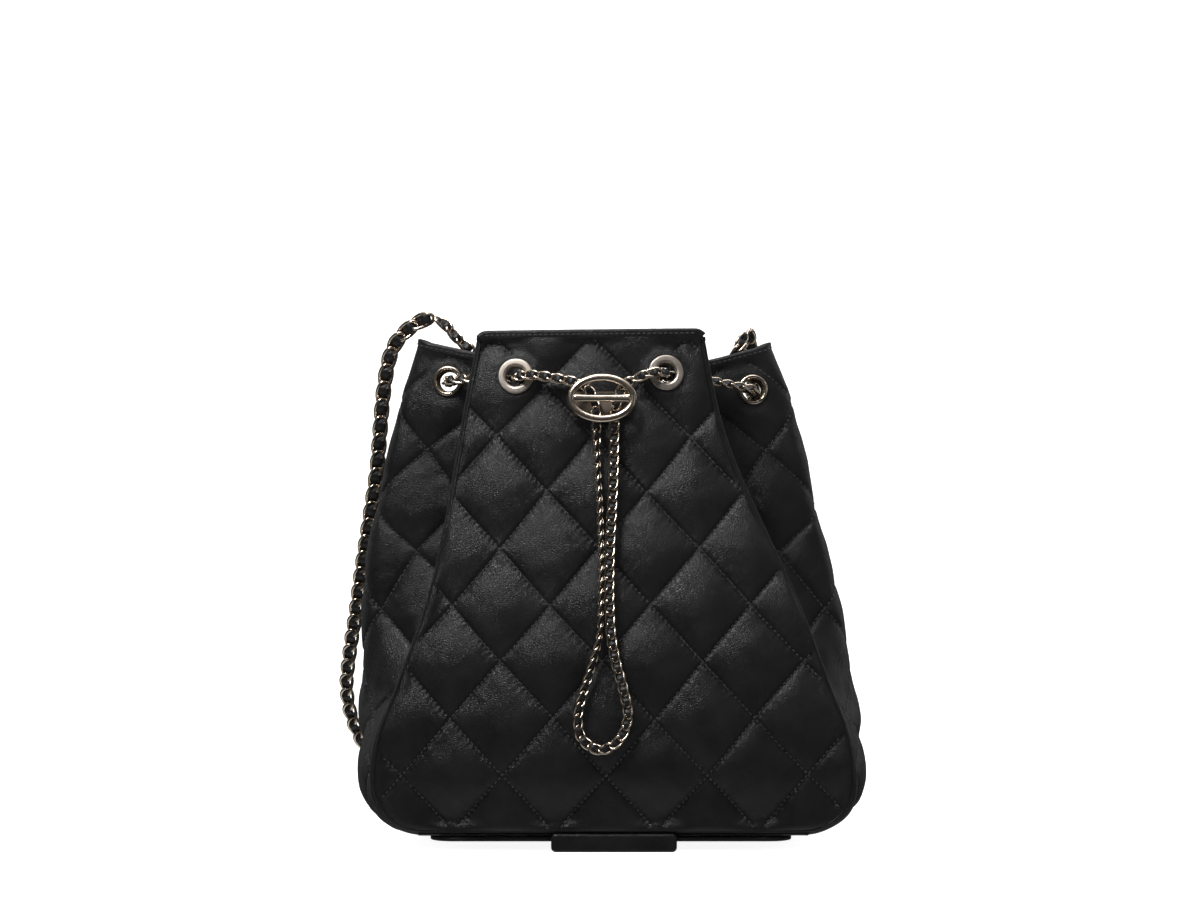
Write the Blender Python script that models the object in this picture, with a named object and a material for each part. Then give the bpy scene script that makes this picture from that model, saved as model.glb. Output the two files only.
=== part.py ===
"""Bucket bag: quilted leather body with pleated sides, a drawstring chain round the mouth
with a slider on its pull loop, and a chain shoulder strap.

The bag stands on its foot at z = 0 and faces -Y. Every length below is in millimetres, and
SCALE turns the finished meshes into metres.
"""
import math

import bmesh
import bpy
from mathutils import Matrix, Vector

SCALE = 0.001

# --- Driving dimensions -------------------------------------------------------------------
# Side seams, where the front and back panels meet the side gussets: (height, value) stations.
SEAM_HALF_WIDTH = ((39, 120), (60, 117.7), (85, 108.8), (150, 86.3), (205, 69.5), (262, 58))
CENTRE_DEPTH = ((9, 62), (39, 69.5), (70, 70.5), (110, 67), (170, 56), (230, 45), (262, 40))
PANEL_CROWN = ((9, 4), (39, 8.5), (110, 9.5), (230, 5), (262, 4))
CORNER_RADIUS = 30            # rounded bottom corners of the panels
SEAM_BOTTOM = 9               # the seam's height along the bottom edge
BELLY = SEAM_BOTTOM + CORNER_RADIUS
BELLY_HALF = 120              # seam half width where the bottom corners start
CROWN_POWER = 2.4

PANEL_LEAN = (2.8, -9.6, 120, 230)    # sideways lean: at the foot, at the top, from z, to z
RIDGE_LEAN = (0.5, -7.2, 40, 180)

PANEL_TOP = 259.0
BINDING = 2.0                 # height of the bound edge
RIDGE_DROP = {-1: 0.6, 1: 6.0}        # the left and right ridges stand lower than the panels
CREASE_DROP = 12.0

# Half of the gusset's plan outline, from the front seam to the side ridge: how far each
# point stands out from the seam, and its depth as a fraction of the seam's half depth.
LOW_OUTLINE = ((0, 1), (2.5, .9), (5, .78), (7.5, .64), (9, .5), (10.2, .34), (11, .17), (11, 0))
HIGH_OUTLINE = ((0, 1), (-3, .79), (-10, .56), (-17, .36), (-5, .30), (13, .25), (30, .175),
                (35, 0))
PLEAT_START, PLEAT_RISE = 52, 130     # the pleat fades in from this height over this rise
SEAM_END = 14                 # outline parameter of the back seam; the ridge is half way

LEATHER = 3.0                 # padded leather
LINING_INSET, LINING = 4.5, 1.0
PIPING_RADIUS = 1.2
PANEL_EDGE = 1.6              # the panels stop this far short of the seam line
GUSSET_EDGE = 3.5
GAP = 0.3                     # clearance between touching pieces

BASE_BULGE = 1.5
BASE_LEATHER = 2.5
PAD_Z = (5.0, 7.2)
PAD_X, PAD_Y = (-90.5, 91.5), 56
FOOT_Z = (0.0, 4.7)
FOOT_X, FOOT_Y = (-29.5, 33.5), 58
BOARD_Z = (10.4, 11.8)
LINING_FLOOR = 12.2

EYELET_HOLE, EYELET_BARREL = 5.2, 6.1
FRONT_FLANGE, WING_FLANGE = 9.0, 7.8
WASHER = 7.6
SEAT_OUT, SEAT_IN = -0.5, -2.5        # flat seats cut for the eyelet flange and its washer
EYELET_SIDES = 12

DRAWCORD = 5.7                # width of the drawstring chain
STRAP = 8.6                   # width of the strap chain
STRAP_ROOT = 6.0              # the strap's first links, edge on between the walls of the wing

PULL_AXIS_Z = 233.5
STRAND_LIFT = 4.5             # strand centre line above the leather beside the slider
LOOP_LIFT = 3.3               # the same lower down, where the loop lies on the leather
SLIDER_CENTRE = (-4.0, 225.5)

STRAP_AXIS = ((-89.5, 3.5, 269.2), (71.3, 6.6, 260.5))
STRAP_ROUTE = (
    (-93.0, 3.8, 269.6), (-97.5, 4.3, 268.2), (-102.5, 5.2, 265.3), (-108.0, 7.0, 260.6),
    (-112.6, 9.6, 254.0), (-115.6, 12.4, 244.5), (-118.0, 16, 230), (-119.8, 20, 212),
    (-122.0, 26, 190), (-126.0, 33, 166), (-130.5, 42, 141), (-134.8, 53, 115),
    (-139.0, 65, 92), (-141.2, 76, 72), (-137.5, 86, 52), (-127.0, 95, 33), (-109.0, 103, 17),
    (-84.0, 110, 7.5), (-52.0, 114, 4.6), (-18.0, 112, 4.6), (15.0, 106, 5.4), (43.0, 99, 13),
    (64.0, 93, 31), (76.5, 87, 58), (82.5, 80, 92), (84.0, 71, 130), (82.0, 62, 168),
    (78.5, 52, 204), (75.5, 40, 232), (74.3, 29, 249), (73.2, 20, 257.2), (72.4, 14.5, 260.4),
    (71.8, 9.6, 261.1))
LEFT_ROOT = ((-71.5, 0.2, 253.0), (-75.5, 0.2, 256.0), (-80.0, 0.9, 260.5),
             (-84.3, 2.4, 265.6), (-88.9, 3.4, 268.9))
RIGHT_ROOT = ((63.0, -0.2, 246.5), (65.5, -0.2, 251.0), (67.8, 0.7, 256.4), (70.2, 4.4, 260.0))

# --- Formulas -----------------------------------------------------------------------------


def smooth(low, high, value):
    t = min(1.0, max(0.0, (value - low) / (high - low)))
    return t * t * (3 - 2 * t)


def through(stations, z):
    """Smooth curve through (height, value) stations, flat at its first station."""
    if z <= stations[0][0]:
        return stations[0][1]
    if z >= stations[-1][0]:
        return stations[-1][1]
    slopes = [0.0]
    for before, after in zip(stations, stations[2:]):
        slopes.append((after[1] - before[1]) / (after[0] - before[0]))
    slopes.append((stations[-1][1] - stations[-2][1]) / (stations[-1][0] - stations[-2][0]))
    for i, (z1, v1) in enumerate(stations[1:]):
        z0, v0 = stations[i]
        if z <= z1:
            step = z1 - z0
            t = (z - z0) / step
            return ((2 * t ** 3 - 3 * t ** 2 + 1) * v0 + (t ** 3 - 2 * t ** 2 + t) * step * slopes[i]
                    + (3 * t ** 2 - 2 * t ** 3) * v1 + (t ** 3 - t ** 2) * step * slopes[i + 1])


def lean(rule, z):
    return rule[0] + (rule[1] - rule[0]) * smooth(rule[2], rule[3], z)


def half_width(z, inset=0.0):
    """Half width of the seam at a height, or of an outline drawn inset from it."""
    if z >= BELLY:
        return through(SEAM_HALF_WIDTH, z) - inset
    radius = CORNER_RADIUS - inset
    return BELLY_HALF - CORNER_RADIUS + math.sqrt(max(0.0, radius ** 2 - (BELLY - z) ** 2))


def half_depth(z):
    return through(CENTRE_DEPTH, z) - through(PANEL_CROWN, z)


def panel_depth(x, z):
    across = min(1.0, abs(x - lean(PANEL_LEAN, z)) / half_width(max(z, SEAM_BOTTOM)))
    return half_depth(z) + through(PANEL_CROWN, z) * (1 - across ** CROWN_POWER)


def panel_point(x, z, face, inset=0.0):
    """A point on the front (face -1) or back (face 1) panel, and its outward normal."""
    step = 0.5
    slope_x = (panel_depth(x + step, z) - panel_depth(x - step, z)) / (2 * step)
    slope_z = (panel_depth(x, z + step) - panel_depth(x, z - step)) / (2 * step)
    normal = Vector((-slope_x, face, -slope_z)).normalized()
    return Vector((x, face * panel_depth(x, z), z)) - normal * inset, normal


def curve_at(points, q):
    """Catmull-Rom curve through points, one unit of q from each point to the next."""
    last = len(points) - 1
    i = min(max(int(q), 0), last - 1)
    t = q - i
    p1, p2 = points[i], points[i + 1]
    p0 = points[i - 1] if i else p1 * 2 - p2
    p3 = points[i + 2] if i + 2 <= last else p2 * 2 - p1
    return (p1 * 2 + (p2 - p0) * t + (p0 * 2 - p1 * 5 + p2 * 4 - p3) * t * t
            + (p1 * 3 - p0 - p2 * 3 + p3) * t ** 3) / 2


def gusset_outline(z, q):
    """(outward offset, depth fraction) at height z; q 0 front seam, 7 ridge, 14 back seam."""
    pleat = math.sin(math.pi / 2 * min(1.0, max(0.0, (z - PLEAT_START) / PLEAT_RISE)))
    half = [Vector(low).lerp(Vector(high), pleat) for low, high in zip(LOW_OUTLINE, HIGH_OUTLINE)]
    whole = [Vector((out, -depth)) for out, depth in half]
    whole += [Vector((out, depth)) for out, depth in reversed(half[:-1])]
    return curve_at(whole, q)


def gusset_top(side, q):
    """Top edge of a gusset: it dips at both creases and stands up again at the ridge."""
    from_seam = min(q, SEAM_END - q)
    if from_seam < 3:
        return PANEL_TOP - CREASE_DROP * smooth(0, 3, from_seam)
    return PANEL_TOP - CREASE_DROP + (CREASE_DROP - RIDGE_DROP[side]) * smooth(3, 7, from_seam)


def side_surface(side, z, q, turn=0.0):
    """A point on a gusset; turn is the angle gone round the bottom corner, in radians."""
    seam_z = BELLY - CORNER_RADIUS * math.sin(turn) if turn else z
    out, depth = gusset_outline(seam_z, q)
    flat = BASE_BULGE * smooth(0, 0.8, min(q, SEAM_END - q))
    out = out + (flat - out) * math.sin(turn) ** 2
    half = BELLY_HALF - CORNER_RADIUS * (1 - math.cos(turn)) if turn else half_width(z)
    ridge = 1 - abs(q - SEAM_END / 2) / (SEAM_END / 2)
    middle = lean(PANEL_LEAN, seam_z) * (1 - ridge) + lean(RIDGE_LEAN, seam_z) * ridge
    return Vector((middle + side * (half + out * math.cos(turn)), depth * half_depth(seam_z),
                   seam_z - out * math.sin(turn)))


def gusset_point(side, z, q, turn=0.0, inset=0.0):
    """A point inset from a gusset's surface, and the surface's outward normal."""
    step = 0.02
    before, after = max(q - step, 0.0), min(q + step, SEAM_END)
    along = side_surface(side, z, after, turn) - side_surface(side, z, before, turn)
    if turn:
        down = side_surface(side, z, q, turn + step) - side_surface(side, z, q, turn - step)
    else:
        down = side_surface(side, z - 1, q) - side_surface(side, z + 1, q)
    normal = (down.cross(along) * side).normalized()
    return side_surface(side, z, q, turn) - normal * inset, normal


def smoothed_route(points, spacing):
    """Evenly spaced points along one smooth curve through a route's own points."""
    knots = [Vector(p) for p in points]
    fine = [curve_at(knots, i / 20) for i in range((len(knots) - 1) * 20)] + [knots[-1]]
    lengths = [0.0]
    for before, after in zip(fine, fine[1:]):
        lengths.append(lengths[-1] + (after - before).length)
    count = max(2, round(lengths[-1] / spacing))
    route = []
    for k in range(count + 1):
        wanted = lengths[-1] * k / count
        i = min(next(n for n, far in enumerate(lengths) if far >= wanted - 1e-9), len(fine) - 1)
        if i == 0:
            route.append(fine[0])
            continue
        part = (wanted - lengths[i - 1]) / (lengths[i] - lengths[i - 1])
        route.append(fine[i - 1].lerp(fine[i], part))
    return route


# --- Blender helpers ----------------------------------------------------------------------

MATERIALS = {}


def material(name, colour, roughness, metallic=0.0):
    if name not in MATERIALS:
        made = bpy.data.materials.new(name)
        made.use_nodes = True
        shader = made.node_tree.nodes["Principled BSDF"]
        shader.inputs["Base Color"].default_value = (*colour, 1)
        shader.inputs["Roughness"].default_value = roughness
        shader.inputs["Metallic"].default_value = metallic
        MATERIALS[name] = made
    return MATERIALS[name]


def leather():
    return material("black_leather", (0.02, 0.02, 0.021), 0.45)


def gold():
    return material("pale_gold", (0.80, 0.67, 0.52), 0.22, 1.0)


def textile():
    return material("lining_textile", (0.05, 0.045, 0.045), 0.85)


def nylon():
    return material("zip_tape", (0.02, 0.02, 0.02), 0.7)


def add_object(name, bm, skin, pivot=(0, 0, 0)):
    """Make a node from a bmesh in millimetres, with its origin at pivot."""
    bmesh.ops.triangulate(bm, faces=bm.faces)
    bmesh.ops.recalc_face_normals(bm, faces=bm.faces)
    bm.transform(Matrix.Scale(SCALE, 4) @ Matrix.Translation(-Vector(pivot)))
    mesh = bpy.data.meshes.new(name)
    bm.to_mesh(mesh)
    bm.free()
    mesh.materials.append(skin)
    mesh.shade_smooth()
    mesh.set_sharp_from_angle(angle=math.radians(35))
    made = bpy.data.objects.new(name, mesh)
    made.location = Vector(pivot) * SCALE
    bpy.context.scene.collection.objects.link(made)
    return made


def shell(name, outer, inner, skin, ring=False):
    """Closed solid between two matching grids of points; a ring closes on itself."""
    bm = bmesh.new()
    sheets = [[[bm.verts.new(p) for p in row] for row in grid] for grid in (outer, inner)]
    rows, columns = len(outer), len(outer[0])
    spans = columns if ring else columns - 1
    for grid in sheets:
        for i in range(rows - 1):
            for j in range(spans):
                k = (j + 1) % columns
                bm.faces.new((grid[i][j], grid[i][k], grid[i + 1][k], grid[i + 1][j]))
    for i in (0, rows - 1):
        for j in range(spans):
            k = (j + 1) % columns
            bm.faces.new([g[i][c] for g, c in zip((*sheets, *reversed(sheets)), (j, j, k, k))])
    if not ring:
        for j in (0, columns - 1):
            for i in range(rows - 1):
                bm.faces.new([g[r][j] for g, r in zip((*sheets, *reversed(sheets)),
                                                      (i, i, i + 1, i + 1))])
    return add_object(name, bm, skin)


def turned(profile, segments, frame):
    """Bmesh of a closed (radius, height) profile turned about the frame's Z axis."""
    bm = bmesh.new()
    rings = []
    for radius, height in profile:
        if radius == 0:
            rings.append([bm.verts.new(frame @ Vector((0, 0, height)))] * segments)
            continue
        angles = [2 * math.pi * i / segments for i in range(segments)]
        rings.append([bm.verts.new(frame @ Vector((radius * math.cos(a), radius * math.sin(a), height)))
                      for a in angles])
    for i, ring in enumerate(rings):
        other = rings[(i + 1) % len(rings)]
        for j in range(segments):
            k = (j + 1) % segments
            corners = list(dict.fromkeys((ring[j], ring[k], other[k], other[j])))
            if len(corners) > 2:
                bm.faces.new(corners)
    return bm


def box_bmesh(x, y, z, round_z=0.0, segments=3):
    """Bmesh of a block between (low, high) pairs, its upright edges rounded."""
    bm = bmesh.new()
    size = Vector((x[1] - x[0], y[1] - y[0], z[1] - z[0]))
    centre = Vector((sum(x), sum(y), sum(z))) / 2
    bmesh.ops.create_cube(bm, size=1, matrix=Matrix.Translation(centre) @ Matrix.Diagonal((*size, 1)))
    if round_z:
        upright = [e for e in bm.edges if abs(e.verts[0].co.z - e.verts[1].co.z) > size.z / 2]
        bmesh.ops.bevel(bm, geom=upright, offset=round_z, segments=segments, affect="EDGES",
                        profile=0.5)
    return bm


def tube(name, points, diameter, skin, resolution=2, pivot=(0, 0, 0)):
    """Round cord with filled ends along points."""
    curve = bpy.data.curves.new(name, "CURVE")
    curve.dimensions = "3D"
    curve.bevel_depth = diameter / 2 * SCALE
    curve.bevel_resolution = resolution
    curve.use_fill_caps = True
    spline = curve.splines.new("POLY")
    spline.points.add(len(points) - 1)
    for knot, point in zip(spline.points, points):
        knot.co = (*((Vector(point) - Vector(pivot)) * SCALE), 1)
    curve.materials.append(skin)
    made = bpy.data.objects.new(name, curve)
    made.location = Vector(pivot) * SCALE
    bpy.context.scene.collection.objects.link(made)
    return made


def cut(target, cutter):
    """Boolean the cutter out of the target; the cutter itself is only a guide."""
    cutter.hide_render = True
    cutter.display_type = "WIRE"
    hole = target.modifiers.new(f"cut_{cutter.name}", "BOOLEAN")
    hole.operation = "DIFFERENCE"
    hole.object = cutter


def frame_at(point, normal, up=(0, 0, 1)):
    """Matrix with Z along normal and Y as near to up as it can be."""
    z_axis = Vector(normal).normalized()
    x_axis = Vector(up).cross(z_axis).normalized()
    turn = Matrix((x_axis, z_axis.cross(x_axis), z_axis)).transposed()
    return Matrix.Translation(point) @ turn.to_4x4()


# --- Leather body -------------------------------------------------------------------------

SIDE_FRACTIONS = (1.0, 0.86, 0.70, 0.54, 0.38, 0.22, 0.09, 0.0)
CORNER_TURNS = tuple(math.radians(a) for a in (22.5, 45, 67.5, 90))
GUSSET_COLUMNS = (0.6, 1.3, 2.1, 2.7, 3.0, 3.4, 4.4, 5.6, 6.35, 7.0)


def gusset_edge(z, turn=0.0):
    """Outline parameter at which a gusset starts, GUSSET_EDGE from the seam line."""
    q = 0.0
    seam = side_surface(1, z, 0.0, turn)
    while (side_surface(1, z, q, turn) - seam).length < GUSSET_EDGE:
        q += 0.02
    return q


def gusset_columns(z, turn=0.0):
    front = (gusset_edge(z, turn),) + GUSSET_COLUMNS[1:]
    return front + tuple(SEAM_END - q for q in reversed(front[:-1]))


def gusset_rows(side, inset):
    rows = []
    for fraction in SIDE_FRACTIONS:
        level = BELLY + (PANEL_TOP - BELLY) * fraction
        row = []
        for q in gusset_columns(level):
            z = BELLY + (gusset_top(side, q) - BELLY) * fraction
            row.append(gusset_point(side, z, q, inset=inset)[0])
        rows.append(row)
    for turn in CORNER_TURNS:
        rows.append([gusset_point(side, BELLY, q, turn, inset)[0] for q in gusset_columns(BELLY, turn)])
    return rows


def panel_rows(face, inset):
    radius = CORNER_RADIUS - PANEL_EDGE
    levels = [BELLY + (PANEL_TOP - BELLY) * f for f in SIDE_FRACTIONS]
    levels += [BELLY - radius * math.sin(turn) for turn in CORNER_TURNS]
    columns = 8
    rows = []
    for z in levels:
        middle, half = lean(PANEL_LEAN, z), half_width(z, PANEL_EDGE)
        spread = [middle + half * (2 * j / columns - 1) for j in range(columns + 1)]
        rows.append([panel_point(x, z, face, inset)[0] for x in spread])
    return rows


def make_panels():
    return {name: shell(name, panel_rows(face, 0.0), panel_rows(face, LEATHER), leather())
            for name, face in (("front_panel", -1), ("back_panel", 1))}


def make_gussets():
    return {name: shell(name, gusset_rows(side, 0.0), gusset_rows(side, LEATHER), leather())
            for name, side in (("gusset_left", -1), ("gusset_right", 1))}


def make_base():
    """Bottom leather between the gussets' ends, its stiffener, pad and foot."""
    bottom = math.radians(90)
    left, right = [[gusset_point(side, BELLY, q, bottom)[0] for q in gusset_columns(BELLY, bottom)]
                   for side in (-1, 1)]
    stations = [GAP / 180, 0.25, 0.5, 0.75, 1 - GAP / 180]
    outer = [[a.lerp(b, f) for a, b in zip(left, right)] for f in stations]
    inner = [[p + Vector((0, 0, BASE_LEATHER)) for p in row] for row in outer]
    shell("base_panel", outer, inner, leather())
    board_x = (PAD_X[0] + 8, PAD_X[1] - 8)
    add_object("base_board", box_bmesh(board_x, (-52, 52), BOARD_Z, 10),
               material("stiff_board", (0.25, 0.2, 0.15), 0.9))
    add_object("base_pad", box_bmesh(PAD_X, (-PAD_Y, PAD_Y), PAD_Z, 12, 4), leather())
    add_object("base_foot", box_bmesh(FOOT_X, (-FOOT_Y, FOOT_Y), FOOT_Z, 4, 3), leather())


def seam_route(face):
    route = []
    for fraction in SIDE_FRACTIONS:
        z = BELLY + (PANEL_TOP + BINDING - BELLY) * fraction
        route.append((half_width(z), z))
    for turn in CORNER_TURNS:
        route.append((BELLY_HALF - CORNER_RADIUS * (1 - math.cos(turn)),
                      BELLY - CORNER_RADIUS * math.sin(turn)))
    left = [Vector((lean(PANEL_LEAN, z) - x, face * half_depth(z), z)) for x, z in route]
    right = [Vector((lean(PANEL_LEAN, z) + x, face * half_depth(z), z)) for x, z in reversed(route)]
    return left + right


def make_pipings():
    for name, face in (("piping_front", -1), ("piping_back", 1)):
        tube(name, seam_route(face), 2 * PIPING_RADIUS, leather(), resolution=1)


def make_bindings():
    """Bound edges along the mouth, over the leather and the lining."""
    proud, cover = -0.35, LINING_INSET + LINING
    levels = (PANEL_TOP + BINDING, PANEL_TOP + GAP)
    for name, face in (("binding_front", -1), ("binding_back", 1)):
        sheets = []
        for inset in (proud, cover):
            rows = []
            for z in levels:
                middle, half = lean(PANEL_LEAN, z), half_width(z, PANEL_EDGE)
                spread = [middle + half * (2 * j / 12 - 1) for j in range(13)]
                rows.append([panel_point(x, z, face, 0.0)[0] - Vector((0, face * inset, 0))
                             for x in spread])
            sheets.append(rows)
        shell(name, *sheets, leather())
    for name, side in (("binding_left", -1), ("binding_right", 1)):
        sheets = []
        for inset in (proud, cover):
            rows = []
            for lift in (BINDING, GAP):
                row = []
                for q in (1.5,) + gusset_columns(PANEL_TOP)[2:-2] + (SEAM_END - 1.5,):
                    point, normal = gusset_point(side, gusset_top(side, q) + lift, q)
                    flat = Vector((normal.x, normal.y, 0)).normalized()
                    row.append(point - flat * inset)
                rows.append(row)
            sheets.append(rows)
        shell(name, *sheets, leather())


# --- Lining -------------------------------------------------------------------------------

LINING_LOW = (0.0, 0.12, 0.45)          # fractions of the way from the floor to the belly
LINING_PANEL = (-0.93, -0.5, 0.0, 0.5, 0.93)
LINING_BELOW_EDGE = 1.8
LINING_KNEE = 45              # below this height the lining narrows with the seam outline


def body_ring(low_z, high_z, fraction):
    """Points round the bag's outer surface, a fraction of the way from low_z up to high_z;
    a high_z of None stands for each point's own top edge."""
    ring = []

    def place(surface, top):
        z = low_z + ((high_z or top) - low_z) * fraction
        lifted = z - LINING_INSET * (1 - smooth(30, 50, z))
        point = surface(max(lifted, LINING_KNEE))
        if lifted < LINING_KNEE:
            low = max(lifted, SEAM_BOTTOM + 0.2)
            middle = lean(PANEL_LEAN, low)
            point.x = middle + (point.x - middle) * half_width(low) / half_width(LINING_KNEE)
            point.y *= through(CENTRE_DEPTH, low) / through(CENTRE_DEPTH, LINING_KNEE)
        point.z = z
        ring.append(point)

    def panel(p, face):
        place(lambda z: panel_point(lean(PANEL_LEAN, z) + p * half_width(z), z, face)[0],
              PANEL_TOP - LINING_BELOW_EDGE)

    def gusset(side, q):
        place(lambda z: side_surface(side, z, q), gusset_top(side, q) - LINING_BELOW_EDGE)

    columns = GUSSET_COLUMNS[1:] + tuple(SEAM_END - q for q in reversed(GUSSET_COLUMNS[1:-1]))
    for p in LINING_PANEL:
        panel(p, -1)
    for q in columns:
        gusset(1, q)
    for p in reversed(LINING_PANEL):
        panel(p, 1)
    for q in reversed(columns):
        gusset(-1, q)
    return ring


def inset_ring(ring, distance):
    """Move each point of a ring inward, keeping the distance from both its neighbour edges."""
    moved = []
    for i, point in enumerate(ring):
        before, after = ring[i - 1], ring[(i + 1) % len(ring)]
        first = (point - before).xy.normalized()
        second = (after - point).xy.normalized()
        inward = (Vector((-first.y, first.x)) + Vector((-second.y, second.x))).normalized()
        squeeze = max(0.35, inward.dot(Vector((-first.y, first.x))))
        moved.append(point + Vector((inward.x, inward.y, 0)) * (distance / squeeze))
    return moved


def make_lining():
    """One sewn bag: an outer and an inner skin, closed over the floor and at the rim."""
    bm = bmesh.new()
    skins = []
    for distance, floor_z in ((LINING_INSET, LINING_FLOOR), (LINING_INSET + LINING, LINING_FLOOR + LINING)):
        rings = [body_ring(floor_z, BELLY, f) for f in LINING_LOW]
        rings += [body_ring(BELLY, None, f) for f in reversed(SIDE_FRACTIONS)]
        rings = [inset_ring(ring, distance) for ring in rings]
        skins.append([[bm.verts.new(p) for p in ring] for ring in rings])
    count = len(skins[0][0])
    for skin in skins:
        bm.faces.new(skin[0])
        for low, high in zip(skin, skin[1:]):
            for j in range(count):
                k = (j + 1) % count
                bm.faces.new((low[j], low[k], high[k], high[j]))
    for j in range(count):
        k = (j + 1) % count
        bm.faces.new((skins[0][-1][j], skins[0][-1][k], skins[1][-1][k], skins[1][-1][j]))
    return add_object("lining", bm, textile())


# --- Eyelets ------------------------------------------------------------------------------

PANEL_EYELET_X, PANEL_EYELET_Z = 38.0, {-1: 238.5, 1: 240.3}
FOLD_EYELET_Q, FOLD_EYELET_Z = {-1: 1.62, 1: 1.62}, {-1: 238.0, 1: 237.0}
WING_EYELET_Q, WING_EYELET_Z = {-1: 4.95, 1: 5.2}, {-1: 236.7, 1: 232.3}


def eyelet_places():
    """(name, side, point, outward normal, flange radius), in order round each side's pleats."""
    places = []
    for side_name, side in (("left", -1), ("right", 1)):
        z = PANEL_EYELET_Z[side]
        x = lean(PANEL_LEAN, z) + side * PANEL_EYELET_X
        for part, q in (("fold", FOLD_EYELET_Q), ("wing", WING_EYELET_Q)):
            height = (FOLD_EYELET_Z if part == "fold" else WING_EYELET_Z)[side]
            for end, along in (("front", q[side]), ("back", SEAM_END - q[side])):
                point, normal = gusset_point(side, height, along)
                places.append((f"{end}_{part}_eyelet_{side_name}", side, point, normal, WING_FLANGE))
        for end, face in (("front", -1), ("back", 1)):
            point, normal = panel_point(x, z, face)
            places.append((f"{end}_eyelet_{side_name}", side, point, normal, FRONT_FLANGE))
    return places


def make_eyelets(bodies, lining):
    top, clinch = 1.0, -3.8
    for name, side, point, normal, flange in eyelet_places():
        frame = frame_at(point, normal)
        ring = ((EYELET_HOLE, clinch), (EYELET_BARREL, clinch), (EYELET_BARREL, SEAT_OUT + GAP),
                (flange, SEAT_OUT + GAP), (flange, top - 0.5), (flange - 0.7, top),
                (EYELET_HOLE + 0.8, top), (EYELET_HOLE, top - 0.6))
        add_object(name, turned(ring, EYELET_SIDES, frame), gold())
        washer = ((EYELET_BARREL + GAP, SEAT_IN - 1), (WASHER, SEAT_IN - 1), (WASHER, SEAT_IN - GAP),
                  (EYELET_BARREL + GAP, SEAT_IN - GAP))
        add_object(f"{name}_washer", turned(washer, EYELET_SIDES, frame), gold())
        seat = ((0, -8), (WASHER + GAP, -8), (WASHER + GAP, SEAT_IN), (EYELET_BARREL + GAP, SEAT_IN),
                (EYELET_BARREL + GAP, SEAT_OUT), (flange + GAP, SEAT_OUT), (flange + GAP, 6), (0, 6))
        cutter = add_object(f"cutter_{name}", turned(seat, EYELET_SIDES, frame), leather())
        if "fold" in name or "wing" in name:
            cut(bodies["gusset_left" if side < 0 else "gusset_right"], cutter)
        else:
            cut(bodies["front_panel" if "front" in name else "back_panel"], cutter)
        cut(lining, cutter)


# --- Drawstring ---------------------------------------------------------------------------

SLOPE = Vector((0, -0.1804, -0.9836))     # down along the straight part of the strands
OUT = Vector((0, -0.9836, 0.1804))        # away from the leather


def strand_point(x, z, lift):
    return panel_point(x, z, -1, -lift)[0]


def mouth_route():
    """Through every eyelet from the left of the slider, round the back, to its right."""
    half = {}
    reach = 4.5
    for side_name, side in (("left", -1), ("right", 1)):
        spots = {name: (point, normal) for name, _, point, normal, _ in eyelet_places()
                 if name.endswith(side_name)}
        route = []
        for end in ("front", "back"):
            leg = []
            for part, sign in (("", 1), ("_fold", -1), ("_wing", 1)):
                point, normal = spots[f"{end}{part}_eyelet_{side_name}"]
                middle = point - normal * 1.5
                leg += [middle + normal * reach * sign, middle, middle - normal * reach * sign]
            leg[0] += Vector((-side * 1.0, 0, -0.3))
            route += leg if end == "front" else list(reversed(leg))
        half[side] = route
    start = [strand_point(-17.6, 234.8, STRAND_LIFT), strand_point(-26.0, 236.4, STRAND_LIFT),
             strand_point(-37.5, 238.2, STRAND_LIFT)]
    finish = [strand_point(20.5, 239.4, STRAND_LIFT), strand_point(12.2, 236.2, STRAND_LIFT)]
    back = [panel_point(x, z, 1, -STRAND_LIFT)[0] for x, z in ((-37, 238.8), (-25, 237.4), (-8, 236.6),
                                                       (6, 237.4), (18, 239.6))]
    return start + half[-1] + back + list(reversed(half[1])) + finish


def pull_route():
    """Down the left strand, round the loop and up the right strand."""
    left = ((-16.2, 234.4), (-12.6, 232.9), (-9.4, 228.6), (-7.4, 222), (-6.8, 213), (-6.6, 200),
            (-6.3, 186), (-5.9, 170), (-5.5, 154), (-5.4, 138), (-5.4, 122), (-5.8, 108),
            (-8.6, 95), (-12.8, 82), (-15.8, 70), (-14.2, 58.5), (-5.2, 52.4))
    right = ((4.6, 57.5), (8.8, 69), (6.6, 82), (3.0, 95), (0.9, 108), (0.8, 122), (0.9, 138),
             (1.1, 154), (1.4, 170), (1.7, 186), (2.0, 200), (2.2, 213), (2.9, 222), (5.0, 229),
             (7.4, 233.6), (10.9, 235.5))
    return [strand_point(x, z, LOOP_LIFT + (STRAND_LIFT - LOOP_LIFT) * smooth(95, 130, z))
            for x, z in left + right]


def make_drawstring():
    tube("drawstring_mouth", smoothed_route(mouth_route(), 6.0), DRAWCORD, gold())
    hinge = strand_point(SLIDER_CENTRE[0], PULL_AXIS_Z, STRAND_LIFT)
    tube("drawstring_pull", smoothed_route(pull_route(), 7.5), DRAWCORD, gold(), pivot=hinge)
    return hinge


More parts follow.
